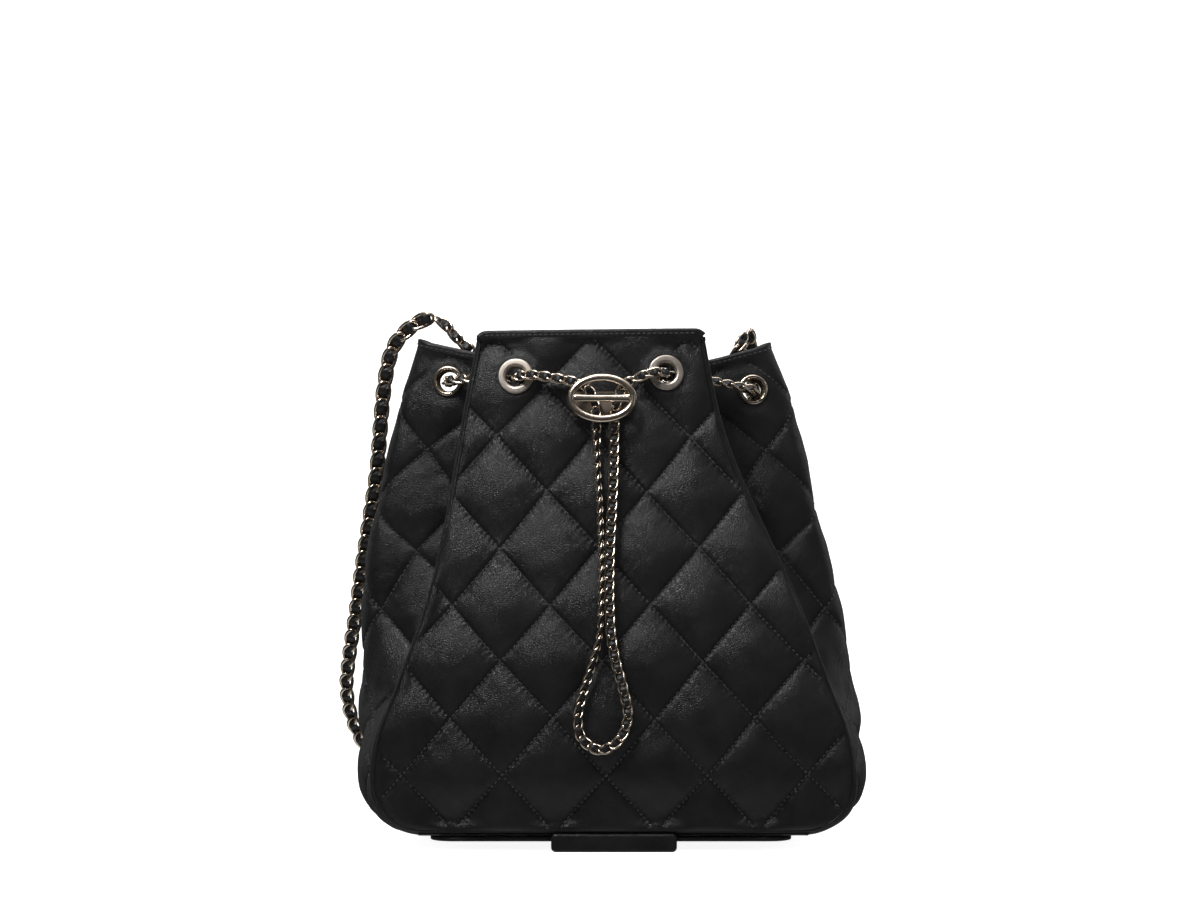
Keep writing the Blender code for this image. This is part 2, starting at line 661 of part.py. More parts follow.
def make_slider(hinge):
    """Oval frame in front of the two strands, plate behind them, and a rivet at each side."""
    x, z = SLIDER_CENTRE
    centre = strand_point(x, z, STRAND_LIFT)
    frame = Matrix.Translation(centre) @ Matrix((Vector((1, 0, 0)), -SLOPE, OUT)).transposed().to_4x4()
    half_wide, half_tall, wire = 15.6, 10.6, 1.9
    level = DRAWCORD / 2 + GAP + wire

    bm = bmesh.new()
    around, section = 32, 8
    rings = []
    for i in range(around):
        a = 2 * math.pi * i / around
        middle = Vector((half_wide * math.cos(a), half_tall * math.sin(a), level))
        normal = Vector((half_tall * math.cos(a), half_wide * math.sin(a), 0)).normalized()
        rings.append([bm.verts.new(frame @ (middle + normal * wire * math.cos(b)
                                            + Vector((0, 0, wire * math.sin(b)))))
                      for b in [2 * math.pi * k / section for k in range(section)]])
    for i in range(around):
        for k in range(section):
            m, n = (i + 1) % around, (k + 1) % section
            bm.faces.new((rings[i][k], rings[m][k], rings[m][n], rings[i][n]))
    oval = add_object("slider_frame", bm, gold(), pivot=hinge)
    bar = box_bmesh((-half_wide, half_wide), (-2.0, 2.0), (level - 1.2, level + 1.2))
    bar.transform(frame)
    crossbar = add_object("cutter_crossbar", bar, gold())
    crossbar.hide_render = True
    crossbar.display_type = "WIRE"
    join = oval.modifiers.new("join_crossbar", "BOOLEAN")
    join.operation = "UNION"
    join.object = crossbar

    back = -DRAWCORD / 2 - GAP
    plate = box_bmesh((-15, 15), (-7.5, 5.0), (back - 1.0, back))
    plate.transform(frame)
    add_object("slider_plate", plate, gold(), pivot=hinge)
    rivet = ((0, back + GAP), (1.3, back + GAP), (1.3, level - wire - 0.1), (0, level - wire - 0.1))
    for name, side in (("slider_rivet_left", -1), ("slider_rivet_right", 1)):
        spot = frame @ Matrix.Translation((side * 13.2, -4.5, 0))
        add_object(name, turned(rivet, 12, spot), gold(), pivot=hinge)


# --- Strap --------------------------------------------------------------------------------

RING_RADIUS, RING_WIRE = 5.0, 1.0


def ring_bmesh(centre, radius, wire, around=20, section=8):
    """Bmesh of a round ring standing in the XZ plane."""
    bm = bmesh.new()
    rings = []
    for i in range(around):
        a = 2 * math.pi * i / around
        arm = Vector((math.cos(a), 0, math.sin(a)))
        rings.append([bm.verts.new(Vector(centre) + arm * (radius + wire * math.cos(b))
                                   + Vector((0, wire * math.sin(b), 0)))
                      for b in [2 * math.pi * k / section for k in range(section)]])
    for i in range(around):
        for k in range(section):
            m, n = (i + 1) % around, (k + 1) % section
            bm.faces.new((rings[i][k], rings[m][k], rings[m][n], rings[i][n]))
    return bm


def make_strap():
    for name, route, ring_at in (("left", LEFT_ROOT, (-65.6, 0.6, 246.0)),
                                 ("right", RIGHT_ROOT, (57.6, 0.6, 241.4))):
        tube(f"strap_root_{name}", smoothed_route(route, 5.0), STRAP_ROOT, gold())
        x, y, z = ring_at
        add_object(f"strap_ring_{name}", ring_bmesh(ring_at, RING_RADIUS, RING_WIRE), gold())
        low = z - RING_RADIUS - RING_WIRE - GAP
        add_object(f"strap_tab_{name}", box_bmesh((x - 4.5, x + 4.5), (y - 1.2, y + 1.2), (low - 16, low)),
                   leather())
    pivot = Vector(STRAP_AXIS[0])
    tube("strap_chain", smoothed_route(STRAP_ROUTE, 13.0), STRAP, gold(), pivot=pivot)


# --- Pockets inside -----------------------------------------------------------------------

ZIP_Z, ZIP_HALF, ZIP_PARK = 168.0, 52.0, -44.0
ZIP_Y = 43.0


def make_pockets():
    """A zipped pocket's opening on the back lining, and a slip pocket on the front lining."""
    middle = lean(PANEL_LEAN, ZIP_Z)
    welt = add_object("zip_welt", box_bmesh((middle - 58, middle + 58), (ZIP_Y, ZIP_Y + 1.2),
                                            (ZIP_Z - 9, ZIP_Z + 9)), leather())
    window = add_object("cutter_zip_window", box_bmesh((middle - ZIP_HALF, middle + ZIP_HALF),
                                                       (ZIP_Y - 3, ZIP_Y + 4),
                                                       (ZIP_Z - 4, ZIP_Z + 4)), leather())
    cut(welt, window)
    add_object("zip_tape", box_bmesh((middle - 56, middle + 56), (ZIP_Y + 1.5, ZIP_Y + 2.1),
                                     (ZIP_Z - 7, ZIP_Z + 7)), nylon())
    add_object("zip_teeth", box_bmesh((middle - ZIP_HALF + 1, middle + ZIP_HALF - 1),
                                      (ZIP_Y + 0.2, ZIP_Y + 1.2), (ZIP_Z - 1.5, ZIP_Z + 1.5)), gold())
    x = middle + ZIP_PARK
    add_object("zip_slider", box_bmesh((x - 4, x + 4), (ZIP_Y - 1.7, ZIP_Y - 0.3),
                                       (ZIP_Z - 3, ZIP_Z + 3)), gold(), pivot=(x, ZIP_Y - 1.2, ZIP_Z))
    pull = box_bmesh((x - 2.5, x + 2.5), (ZIP_Y - 3.6, ZIP_Y - 2.5), (ZIP_Z - 20, ZIP_Z + 2))
    add_object("zip_pull", pull, gold(), pivot=(x, ZIP_Y - 3.0, ZIP_Z + 1))

    sheets = []
    for inset in (LINING_INSET + LINING + 2.8, LINING_INSET + LINING + 1.8):
        rows = []
        for z in (150, 120, 90, 62):
            centre = lean(PANEL_LEAN, z)
            rows.append([panel_point(centre + p * 9, z, -1, inset)[0] for p in range(-6, 7, 2)])
        sheets.append(rows)
    shell("slip_pocket", *sheets, textile())


def build():
    for old in list(bpy.data.objects):
        bpy.data.objects.remove(old, do_unlink=True)
    bodies = make_panels()
    bodies.update(make_gussets())
    make_base()
    make_pipings()
    make_bindings()
    lining = make_lining()
    make_eyelets(bodies, lining)
    hinge = make_drawstring()
    make_slider(hinge)
    make_strap()
    make_pockets()


build()
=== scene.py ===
import math

import bmesh
import bpy
import numpy as np
from mathutils import Matrix, Vector


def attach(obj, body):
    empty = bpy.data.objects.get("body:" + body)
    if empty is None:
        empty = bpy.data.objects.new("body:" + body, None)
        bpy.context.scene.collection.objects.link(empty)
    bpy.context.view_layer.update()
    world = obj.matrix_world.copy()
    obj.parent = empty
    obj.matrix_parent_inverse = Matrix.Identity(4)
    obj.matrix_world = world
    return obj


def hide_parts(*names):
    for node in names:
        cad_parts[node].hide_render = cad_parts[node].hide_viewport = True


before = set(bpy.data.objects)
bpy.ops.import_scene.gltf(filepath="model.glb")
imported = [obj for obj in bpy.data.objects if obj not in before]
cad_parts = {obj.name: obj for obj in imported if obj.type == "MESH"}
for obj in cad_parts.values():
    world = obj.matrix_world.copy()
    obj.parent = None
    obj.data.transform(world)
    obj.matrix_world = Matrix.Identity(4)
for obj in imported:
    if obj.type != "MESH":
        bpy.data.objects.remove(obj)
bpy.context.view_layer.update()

MM = 0.001
BODY = "bag_body"

# --- Shape of the leather body, in millimetres, as the CAD part has it --------------------
SEAM_HALF_WIDTH = ((35, 121.5), (60, 118.2), (85, 108.8), (150, 86.3), (205, 69.5), (262, 58))
CENTRE_DEPTH = ((9, 62), (39, 69.5), (70, 70.5), (110, 67), (170, 56), (230, 45), (262, 40))
PANEL_CROWN = ((9, 4), (39, 8.5), (110, 9.5), (230, 5), (262, 4))
CORNER_RADIUS, SEAM_BOTTOM, BELLY, BELLY_HALF = 26.0, 9.0, 35.0, 121.5
CROWN_POWER = 2.4
PANEL_LEAN = (1.8, -9.6, 110, 230)
RIDGE_LEAN = (0.5, -7.2, 40, 180)
PANEL_TOP, BINDING = 259.0, 2.0
RIDGE_DROP, CREASE_DROP = {-1: 2.2, 1: 4.0}, {-1: 12.0, 1: 16.0}
RIDGE_SWELL, RIDGE_TUCK = {-1: 2.2, 1: 3.0}, {-1: 2.2, 1: 4.0}
LOW_OUTLINE = ((0, 1), (2.2, .9), (4.4, .78), (6.5, .64), (7.8, .5), (8.8, .34), (9.3, .17), (9.3, 0))
HIGH_OUTLINE = ((0, 1), (-3, .79), (-10, .56), (-17, .36), (-5, .30), (13, .25), (30, .175),
                (35, 0))
PLEAT_START, PLEAT_RISE, SEAM_END = 52, 130, 14
BASE_BULGE = 1.5
LINING_INSET, LINING = 4.5, 1.0
LEATHER = 3.0


def smooth(low, high, value):
    t = np.clip((np.asarray(value, float) - low) / (high - low), 0, 1)
    return t * t * (3 - 2 * t)


def through(stations, z):
    """Smooth curve through (height, value) stations, flat at its first station."""
    h, v = (np.array([s[k] for s in stations], float) for k in (0, 1))
    slopes = np.concatenate(([0.0], (v[2:] - v[:-2]) / (h[2:] - h[:-2]),
                             [(v[-1] - v[-2]) / (h[-1] - h[-2])]))
    z = np.clip(np.asarray(z, float), h[0], h[-1])
    i = np.clip(np.searchsorted(h, z) - 1, 0, len(h) - 2)
    step = h[i + 1] - h[i]
    t = (z - h[i]) / step
    return ((2 * t ** 3 - 3 * t ** 2 + 1) * v[i] + (t ** 3 - 2 * t ** 2 + t) * step * slopes[i]
            + (3 * t ** 2 - 2 * t ** 3) * v[i + 1] + (t ** 3 - t ** 2) * step * slopes[i + 1])


def lean(rule, z):
    return rule[0] + (rule[1] - rule[0]) * smooth(rule[2], rule[3], z)


def half_width(z, inset=0.0):
    z = np.asarray(z, float)
    radius = CORNER_RADIUS - inset
    low = BELLY_HALF - CORNER_RADIUS + np.sqrt(np.maximum(0, radius ** 2 - (BELLY - z) ** 2))
    return np.where(z >= BELLY, through(SEAM_HALF_WIDTH, z) - inset, low)


def half_depth(z):
    return through(CENTRE_DEPTH, z) - through(PANEL_CROWN, z)


def panel_depth(x, z):
    across = np.minimum(1, np.abs(x - lean(PANEL_LEAN, z)) / half_width(np.maximum(z, SEAM_BOTTOM)))
    return half_depth(z) + through(PANEL_CROWN, z) * (1 - across ** CROWN_POWER)


def panel_point(x, z, face):
    """Points on the front (face -1) or back (face 1) panel, and the outward normals there."""
    x, z = np.broadcast_arrays(np.asarray(x, float), np.asarray(z, float))
    step = 0.5
    slope_x = (panel_depth(x + step, z) - panel_depth(x - step, z)) / (2 * step)
    slope_z = (panel_depth(x, z + step) - panel_depth(x, z - step)) / (2 * step)
    normal = np.stack((-slope_x, np.full(x.shape, float(face)), -slope_z), -1)
    normal /= np.linalg.norm(normal, axis=-1, keepdims=True)
    return np.stack((x, face * panel_depth(x, z), z), -1), normal


def catmull(p0, p1, p2, p3, t):
    return (p1 * 2 + (p2 - p0) * t + (p0 * 2 - p1 * 5 + p2 * 4 - p3) * t * t
            + (p1 * 3 - p0 - p2 * 3 + p3) * t ** 3) / 2


def curve_at(points, q):
    """Catmull-Rom curve: points is (n, k), or (n, ..., k) with one curve for each q."""
    last = len(points) - 1
    i = np.clip(np.floor(q).astype(int), 0, last - 1)
    t = (q - i)[..., None]

    def pick(k):
        if points.ndim == 2:
            return points[k]
        return np.take_along_axis(points, np.broadcast_to(
            k[None, ..., None], (1, *k.shape, points.shape[-1])), 0)[0]

    p1, p2 = pick(i), pick(i + 1)
    p0 = np.where((i > 0)[..., None], pick(np.maximum(i - 1, 0)), p1 * 2 - p2)
    p3 = np.where((i + 2 <= last)[..., None], pick(np.minimum(i + 2, last)), p2 * 2 - p1)
    return catmull(p0, p1, p2, p3, t)


def gusset_outline(z, q):
    """(outward offset, depth fraction) at height z; q 0 front seam, 7 ridge, 14 back seam."""
    z, q = np.broadcast_arrays(np.asarray(z, float), np.asarray(q, float))
    pleat = np.sin(np.pi / 2 * np.clip((z - PLEAT_START) / PLEAT_RISE, 0, 1))[..., None]
    whole = []
    for low, high in zip(LOW_OUTLINE, HIGH_OUTLINE):
        half = np.array(low) * (1 - pleat) + np.array(high) * pleat
        whole.append(half * np.array((1, -1)))
    whole += [point * np.array((1, -1)) for point in reversed(whole[:-1])]
    return curve_at(np.stack(whole), q)


def gusset_top(side, q):
    from_seam = np.minimum(q, SEAM_END - q)
    return (PANEL_TOP - CREASE_DROP[side] * smooth(0, 3, from_seam)
            + (CREASE_DROP[side] - RIDGE_DROP[side]) * smooth(3, 7, from_seam))


def side_surface(side, z, q, turn=0.0):
    """Points on a gusset; turn is the angle gone round the bottom corner, in radians."""
    z, q = np.broadcast_arrays(np.asarray(z, float), np.asarray(q, float))
    seam_z = BELLY - CORNER_RADIUS * math.sin(turn) + 0 * z if turn else z
    outline = gusset_outline(seam_z, q)
    out, depth = outline[..., 0], outline[..., 1]
    flat = BASE_BULGE * smooth(0, 0.8, np.minimum(q, SEAM_END - q))
    out = out + (flat - out) * math.sin(turn) ** 4
    half = BELLY_HALF - CORNER_RADIUS * (1 - math.cos(turn)) if turn else half_width(z)
    ridge = 1 - np.abs(q - SEAM_END / 2) / (SEAM_END / 2)
    swell = (RIDGE_SWELL[side] * smooth(150, 205, seam_z) * (1 - smooth(222, 250, seam_z))
             - RIDGE_TUCK[side] * smooth(232, 260, seam_z))
    out = out + swell * smooth(0.45, 1.0, ridge)
    middle = lean(PANEL_LEAN, seam_z) * (1 - ridge) + lean(RIDGE_LEAN, seam_z) * ridge
    return np.stack((middle + side * (half + out * math.cos(turn)), depth * half_depth(seam_z),
                     seam_z - out * math.sin(turn)), -1)


def gusset_point(side, z, q):
    """One point on a gusset and the outward normal there."""
    before, after = max(q - 0.02, 0.0), min(q + 0.02, SEAM_END)
    along = side_surface(side, z, after) - side_surface(side, z, before)
    down = side_surface(side, z - 1, q) - side_surface(side, z + 1, q)
    normal = np.cross(down, along) * side
    return side_surface(side, z, q), normal / np.linalg.norm(normal)


def smoothed_route(points, spacing):
    """Evenly spaced points along one smooth curve through a route's own points."""
    knots = np.array(points, float)
    fine = curve_at(knots, np.linspace(0, len(knots) - 1, (len(knots) - 1) * 40 + 1))
    return resampled(fine, spacing)


def resampled(fine, spacing):
    lengths = np.concatenate(([0], np.cumsum(np.linalg.norm(np.diff(fine, axis=0), axis=1))))
    count = max(2, round(lengths[-1] / spacing))
    wanted = np.linspace(0, lengths[-1], count + 1)
    return np.stack([np.interp(wanted, lengths, fine[:, k]) for k in range(3)], -1)


# --- Materials ----------------------------------------------------------------------------


class Nodes:
    """Small helper to build a node tree."""

    def __init__(self, name):
        self.material = bpy.data.materials.new(name)
        self.material.use_nodes = True
        self.tree = self.material.node_tree
        self.shader = self.tree.nodes["Principled BSDF"]

    def new(self, kind, links=(), **settings):
        node = self.tree.nodes.new(kind)
        for key, value in settings.items():
            if key in node.inputs:
                node.inputs[key].default_value = value
            else:
                setattr(node, key, value)
        for key, source in links:
            self.tree.links.new(source, node.inputs[key])
        return node

    def link(self, source, target):
        self.tree.links.new(source, target)

    def place(self):
        return self.new("ShaderNodeTexCoord").outputs["Object"]

    def noise(self, where, scale, detail=3.0, rough=0.5):
        node = self.new("ShaderNodeTexNoise", [("Vector", where)], Scale=scale, Detail=detail,
                        Roughness=rough)
        return node.outputs["Fac"]

    def mapped(self, source, low, high, start=0.0, end=1.0):
        node = self.new("ShaderNodeMapRange", [("Value", source)])
        for key, value in zip(("From Min", "From Max", "To Min", "To Max"), (start, end, low, high)):
            node.inputs[key].default_value = value
        return node.outputs["Result"]

    def maths(self, operation, first, second=None):
        node = self.new("ShaderNodeMath", operation=operation)
        for socket, value in zip(node.inputs, (first, second)):
            if value is None:
                continue
            if isinstance(value, (int, float)):
                socket.default_value = value
            else:
                self.link(value, socket)
        return node.outputs[0]

    def ramp(self, source, stops):
        node = self.new("ShaderNodeValToRGB", [("Fac", source)])
        ramp = node.color_ramp
        while len(ramp.elements) < len(stops):
            ramp.elements.new(0.5)
        for element, (position, colour) in zip(ramp.elements, stops):
            element.position = position
            element.color = (*colour, 1)
        return node.outputs["Color"]

    def bump(self, height, strength, distance, below=None):
        node = self.new("ShaderNodeBump", [("Height", height)], Strength=strength, Distance=distance)
        if below is not None:
            self.link(below, node.inputs["Normal"])
        return node.outputs["Normal"]


def leather_material(name, grain=1.0, rough=(0.31, 0.41), quilted=False, tone=1.0):
    n = Nodes(name)
    where = n.place()
    cells = n.new("ShaderNodeTexVoronoi", [("Vector", where)], Scale=1050.0,
                  feature="DISTANCE_TO_EDGE").outputs["Distance"]
    pores = n.mapped(cells, 0.0, 1.0, 0.0, 0.22)
    fine = n.noise(where, 2600.0, 4.0)
    broad = n.noise(where, 60.0, 4.0, 0.6)
    creases = n.noise(where, 300.0, 6.0, 0.62)
    colour = n.ramp(broad, ((0.3, (0.0029 * tone, 0.0029 * tone, 0.0032 * tone)),
                            (0.7, (0.0048 * tone, 0.0047 * tone, 0.0050 * tone))))
    # Quilted leather: the base colour is darkened near the stitch lines by a mesh attribute, down to 0.35
    # in the grooves: painted shade in the grooves.
    if quilted:
        groove = n.new("ShaderNodeAttribute", attribute_name="groove").outputs["Fac"]
        shade = n.mapped(groove, 1.0, 0.35)
        colour = n.new("ShaderNodeVectorMath", [(0, colour), (1, shade)],
                       operation="MULTIPLY").outputs["Vector"]
    n.link(colour, n.shader.inputs["Base Color"])
    n.link(n.mapped(broad, rough[0], rough[1], 0.3, 0.7), n.shader.inputs["Roughness"])
    n.shader.inputs["Specular IOR Level"].default_value = 0.33
    n.shader.inputs["Sheen Weight"].default_value = 0.015
    n.shader.inputs["Sheen Roughness"].default_value = 0.45
    normal = n.bump(creases, 0.26 * grain, 0.00040)
    normal = n.bump(pores, 0.36 * grain, 0.00028, normal)
    normal = n.bump(fine, 0.25 * grain, 0.00010, normal)
    n.link(normal, n.shader.inputs["Normal"])
    return n.material


def metal_material(name, colour, rough, mottle=0.0, scratch=0.08):
    n = Nodes(name)
    where = n.place()
    broad = n.noise(where, 220.0, 5.0, 0.6)
    dark = tuple(c * (1 - 0.12 - mottle) for c in colour)
    n.link(n.ramp(broad, ((0.3, dark), (0.7, colour))), n.shader.inputs["Base Color"])
    n.shader.inputs["Metallic"].default_value = 1.0
    n.link(n.mapped(n.noise(where, 900.0, 3.0), rough[0], rough[1], 0.3, 0.7),
           n.shader.inputs["Roughness"])
    n.link(n.bump(n.noise(where, 2600.0 if mottle else 700.0, 3.0), scratch, 0.00005),
           n.shader.inputs["Normal"])
    return n.material


def textile_material(name, colour, scale=1400.0):
    n = Nodes(name)
    where = n.place()
    warp = n.new("ShaderNodeTexWave", [("Vector", where)], Scale=scale / 6.28, bands_direction="Z")
    weft = n.new("ShaderNodeTexWave", [("Vector", where)], Scale=scale / 9.0, bands_direction="X")
    weave = n.maths("MULTIPLY", warp.outputs["Fac"], weft.outputs["Fac"])
    broad = n.noise(where, 90.0, 4.0)
    n.link(n.ramp(broad, ((0.3, tuple(c * 0.8 for c in colour)), (0.7, colour))),
           n.shader.inputs["Base Color"])
    n.link(n.mapped(weave, 0.75, 0.92), n.shader.inputs["Roughness"])
    n.shader.inputs["Sheen Weight"].default_value = 0.2
    n.link(n.bump(weave, 0.35, 0.00012), n.shader.inputs["Normal"])
    return n.material


QUILTED = leather_material("quilted_black_leather", quilted=True)
PLAIN = leather_material("plain_black_leather", grain=0.8)
LACE = leather_material("lace_leather", grain=0.5, rough=(0.32, 0.44), tone=1.15)
THREAD = textile_material("black_thread", (0.006, 0.006, 0.0065), 5000.0)
GOLD = metal_material("polished_champagne_gold", (0.90, 0.77, 0.63), (0.18, 0.27), scratch=0.03)
SATIN = metal_material("satin_champagne_gold", (0.72, 0.64, 0.56), (0.38, 0.50), 0.14, 0.35)
# Dark copy of the gold for the eyelet barrels' insides: painted shade in the holes.
BARREL = metal_material("shaded_barrel", (0.20, 0.17, 0.14), (0.42, 0.55), 0.10, 0.30)
TEXTILE = textile_material("lining_grosgrain", (0.020, 0.018, 0.019))
TAPE = textile_material("zip_tape_weave", (0.012, 0.012, 0.012), 2400.0)
BOARD = textile_material("grey_board", (0.16, 0.13, 0.10), 700.0)


# --- Mesh helpers -------------------------------------------------------------------------


def make_object(name, verts, faces, materials, slot, body=BODY, face_material=None, smooth_faces=True,
                attributes=None, replaces=()):
    """A piece from millimetre points and faces; it rides on body and stands for CAD nodes."""
    mesh = bpy.data.meshes.new(name)
    mesh.from_pydata([tuple(v) for v in np.asarray(verts, float) * MM], [], faces)
    for material in materials if isinstance(materials, (list, tuple)) else [materials]:
        mesh.materials.append(material)
    if face_material is not None:
        mesh.polygons.foreach_set("material_index", np.asarray(face_material, np.int32))
    mesh.polygons.foreach_set("use_smooth", [smooth_faces] * len(mesh.polygons))
    for key, values in (attributes or {}).items():
        mesh.attributes.new(key, "FLOAT", "POINT").data.foreach_set(
            "value", np.asarray(values, np.float32).ravel())
    mesh.update()
    made = bpy.data.objects.new(name, mesh)
    bpy.context.scene.collection.objects.link(made)
    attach(made, body)
    if replaces:
        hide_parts(*replaces)
    return made


def grid_faces(rows, columns, start=0, ring=False, flip=False):
    faces = []
    for i in range(rows - 1):
        for j in range(columns if ring else columns - 1):
            k = (j + 1) % columns
            face = (start + i * columns + j, start + i * columns + k,
                    start + (i + 1) * columns + k, start + (i + 1) * columns + j)
            faces.append(face[::-1] if flip else face)
    return faces


def grid_normals(points):
    """Unit normals of a (rows, columns, 3) grid."""
    across = np.gradient(points, axis=1)
    down = np.gradient(points, axis=0)
    normals = np.cross(across, down)
    return normals / np.maximum(np.linalg.norm(normals, axis=-1, keepdims=True), 1e-9)


def waves(points, scale, seed, count=18, stretch=(1, 1, 1)):
    """Smooth noise from -1 to 1 or so: a sum of seeded plane waves about scale long."""
    rng = np.random.default_rng(seed)
    total = np.zeros(points.shape[:-1])
    for _ in range(count):
        direction = rng.normal(size=3)
        direction /= np.linalg.norm(direction)
        pitch = 2 * np.pi / (scale * rng.uniform(0.7, 1.6))
        total += np.sin(points @ (direction * np.array(stretch)) * pitch + rng.uniform(0, 6.28))
    return total / math.sqrt(count)


def frames_along(path, up, twists=None):
    """Tangent, side and face vectors along a path. up is the face direction at the start,
    and twists gives (fraction of the length, degrees of turn about the path)."""
    tangents = np.gradient(path, axis=0)
    tangents /= np.linalg.norm(tangents, axis=1, keepdims=True)
    face = np.array(up, float)
    faces = []
    for t in tangents:
        face = face - t * face.dot(t)
        face /= np.linalg.norm(face)
        faces.append(face)
    faces = np.array(faces)
    sides = np.cross(faces, tangents)
    if twists:
        f, a = zip(*twists)
        angle = np.radians(np.interp(np.linspace(0, 1, len(path)), f, a))[:, None]
        faces, sides = (faces * np.cos(angle) + sides * np.sin(angle),
                        sides * np.cos(angle) - faces * np.sin(angle))
    return tangents, sides, faces


def frames_towards(path, targets):
    """The same with a wanted face direction at each point."""
    tangents = np.gradient(path, axis=0)
    tangents /= np.linalg.norm(tangents, axis=1, keepdims=True)
    faces = targets - tangents * np.sum(targets * tangents, 1)[:, None]
    faces /= np.linalg.norm(faces, axis=1)[:, None]
    return tangents, np.cross(faces, tangents), faces


def sweep(path, section, closed_ends=True, frames=None, up=(0, 0, 1), scale=None):
    """Verts and faces of a section, (n, 2) across and out, carried along a path."""
    _, sides, faces = frames or frames_along(path, up)
    section = np.asarray(section, float)
    grow = np.ones(len(path)) if scale is None else scale
    verts = (path[:, None] + sides[:, None] * section[None, :, :1] * grow[:, None, None]
             + faces[:, None] * section[None, :, 1:] * grow[:, None, None])
    rows, columns = len(path), len(section)
    verts = verts.reshape(-1, 3)
    made = grid_faces(rows, columns, ring=True)
    if closed_ends:
        made.append(tuple(range(columns))[::-1])
        made.append(tuple(range((rows - 1) * columns, rows * columns)))
    return verts, made


def circle(radius, count, squeeze=1.0):
    a = np.linspace(0, 2 * np.pi, count, endpoint=False)
    return np.stack((radius * np.cos(a), radius * squeeze * np.sin(a)), -1)


def rounded_section(width, height, count=14, power=3.2):
    a = np.linspace(0, 2 * np.pi, count, endpoint=False)
    c, s = np.cos(a), np.sin(a)
    return np.stack((width / 2 * np.sign(c) * np.abs(c) ** (2 / power),
                     height / 2 * np.sign(s) * np.abs(s) ** (2 / power)), -1)


class Parts:
    """Collects verts and faces of many small shapes into one mesh."""

    def __init__(self):
        self.verts, self.faces, self.index, self.count = [], [], [], 0

    def add(self, verts, faces, material=0):
        verts = np.asarray(verts, float).reshape(-1, 3)
        self.verts.append(verts)
        self.faces += [tuple(i + self.count for i in face) for face in faces]
        self.index += [material] * len(faces)
        self.count += len(verts)

    def make(self, name, materials, slot, **more):
        return make_object(name, np.concatenate(self.verts), self.faces, materials, slot,
                           face_material=self.index, **more)


def lathe(parts, profile, segments, frame_matrix, material=0):
    """A closed (radius, height) profile turned about the frame's Z axis."""
    a = np.linspace(0, 2 * np.pi, segments, endpoint=False)
    profile = np.asarray(profile, float)
    verts = np.stack((profile[:, None, 0] * np.cos(a), profile[:, None, 0] * np.sin(a),
                      profile[:, None, 1] + 0 * a), -1).reshape(-1, 3)
    matrix = np.array(frame_matrix)
    verts = verts @ matrix[:3, :3].T + matrix[:3, 3]
    rows = len(profile)
    faces = []
    for i in range(rows):
        for j in range(segments):
            k, m = (j + 1) % segments, (i + 1) % rows
            faces.append((i * segments + j, i * segments + k, m * segments + k, m * segments + j))
    parts.add(verts, faces, material)


def frame_at(point, normal, up=(0, 0, 1)):
    z_axis = Vector(normal).normalized()
    x_axis = Vector(up).cross(z_axis).normalized()
    turn = Matrix((x_axis, z_axis.cross(x_axis), z_axis)).transposed()
    return Matrix.Translation(Vector(point)) @ turn.to_4x4()


def rounded(profile, radius=0.3, steps=4):
    """Round the corners of a closed polygon profile."""
    profile = [np.array(p, float) for p in profile]
    out = []
    for i, point in enumerate(profile):
        before, after = profile[i - 1], profile[(i + 1) % len(profile)]
        reach = min(radius, np.linalg.norm(before - point) * 0.45, np.linalg.norm(after - point) * 0.45)
        a = point + (before - point) / np.linalg.norm(before - point) * reach
        b = point + (after - point) / np.linalg.norm(after - point) * reach
        for k in range(steps + 1):
            t = k / steps
            out.append(a * (1 - t) ** 2 + point * 2 * t * (1 - t) + b * t * t)
    return np.array(out)


# --- Camera, floor and light --------------------------------------------------------------

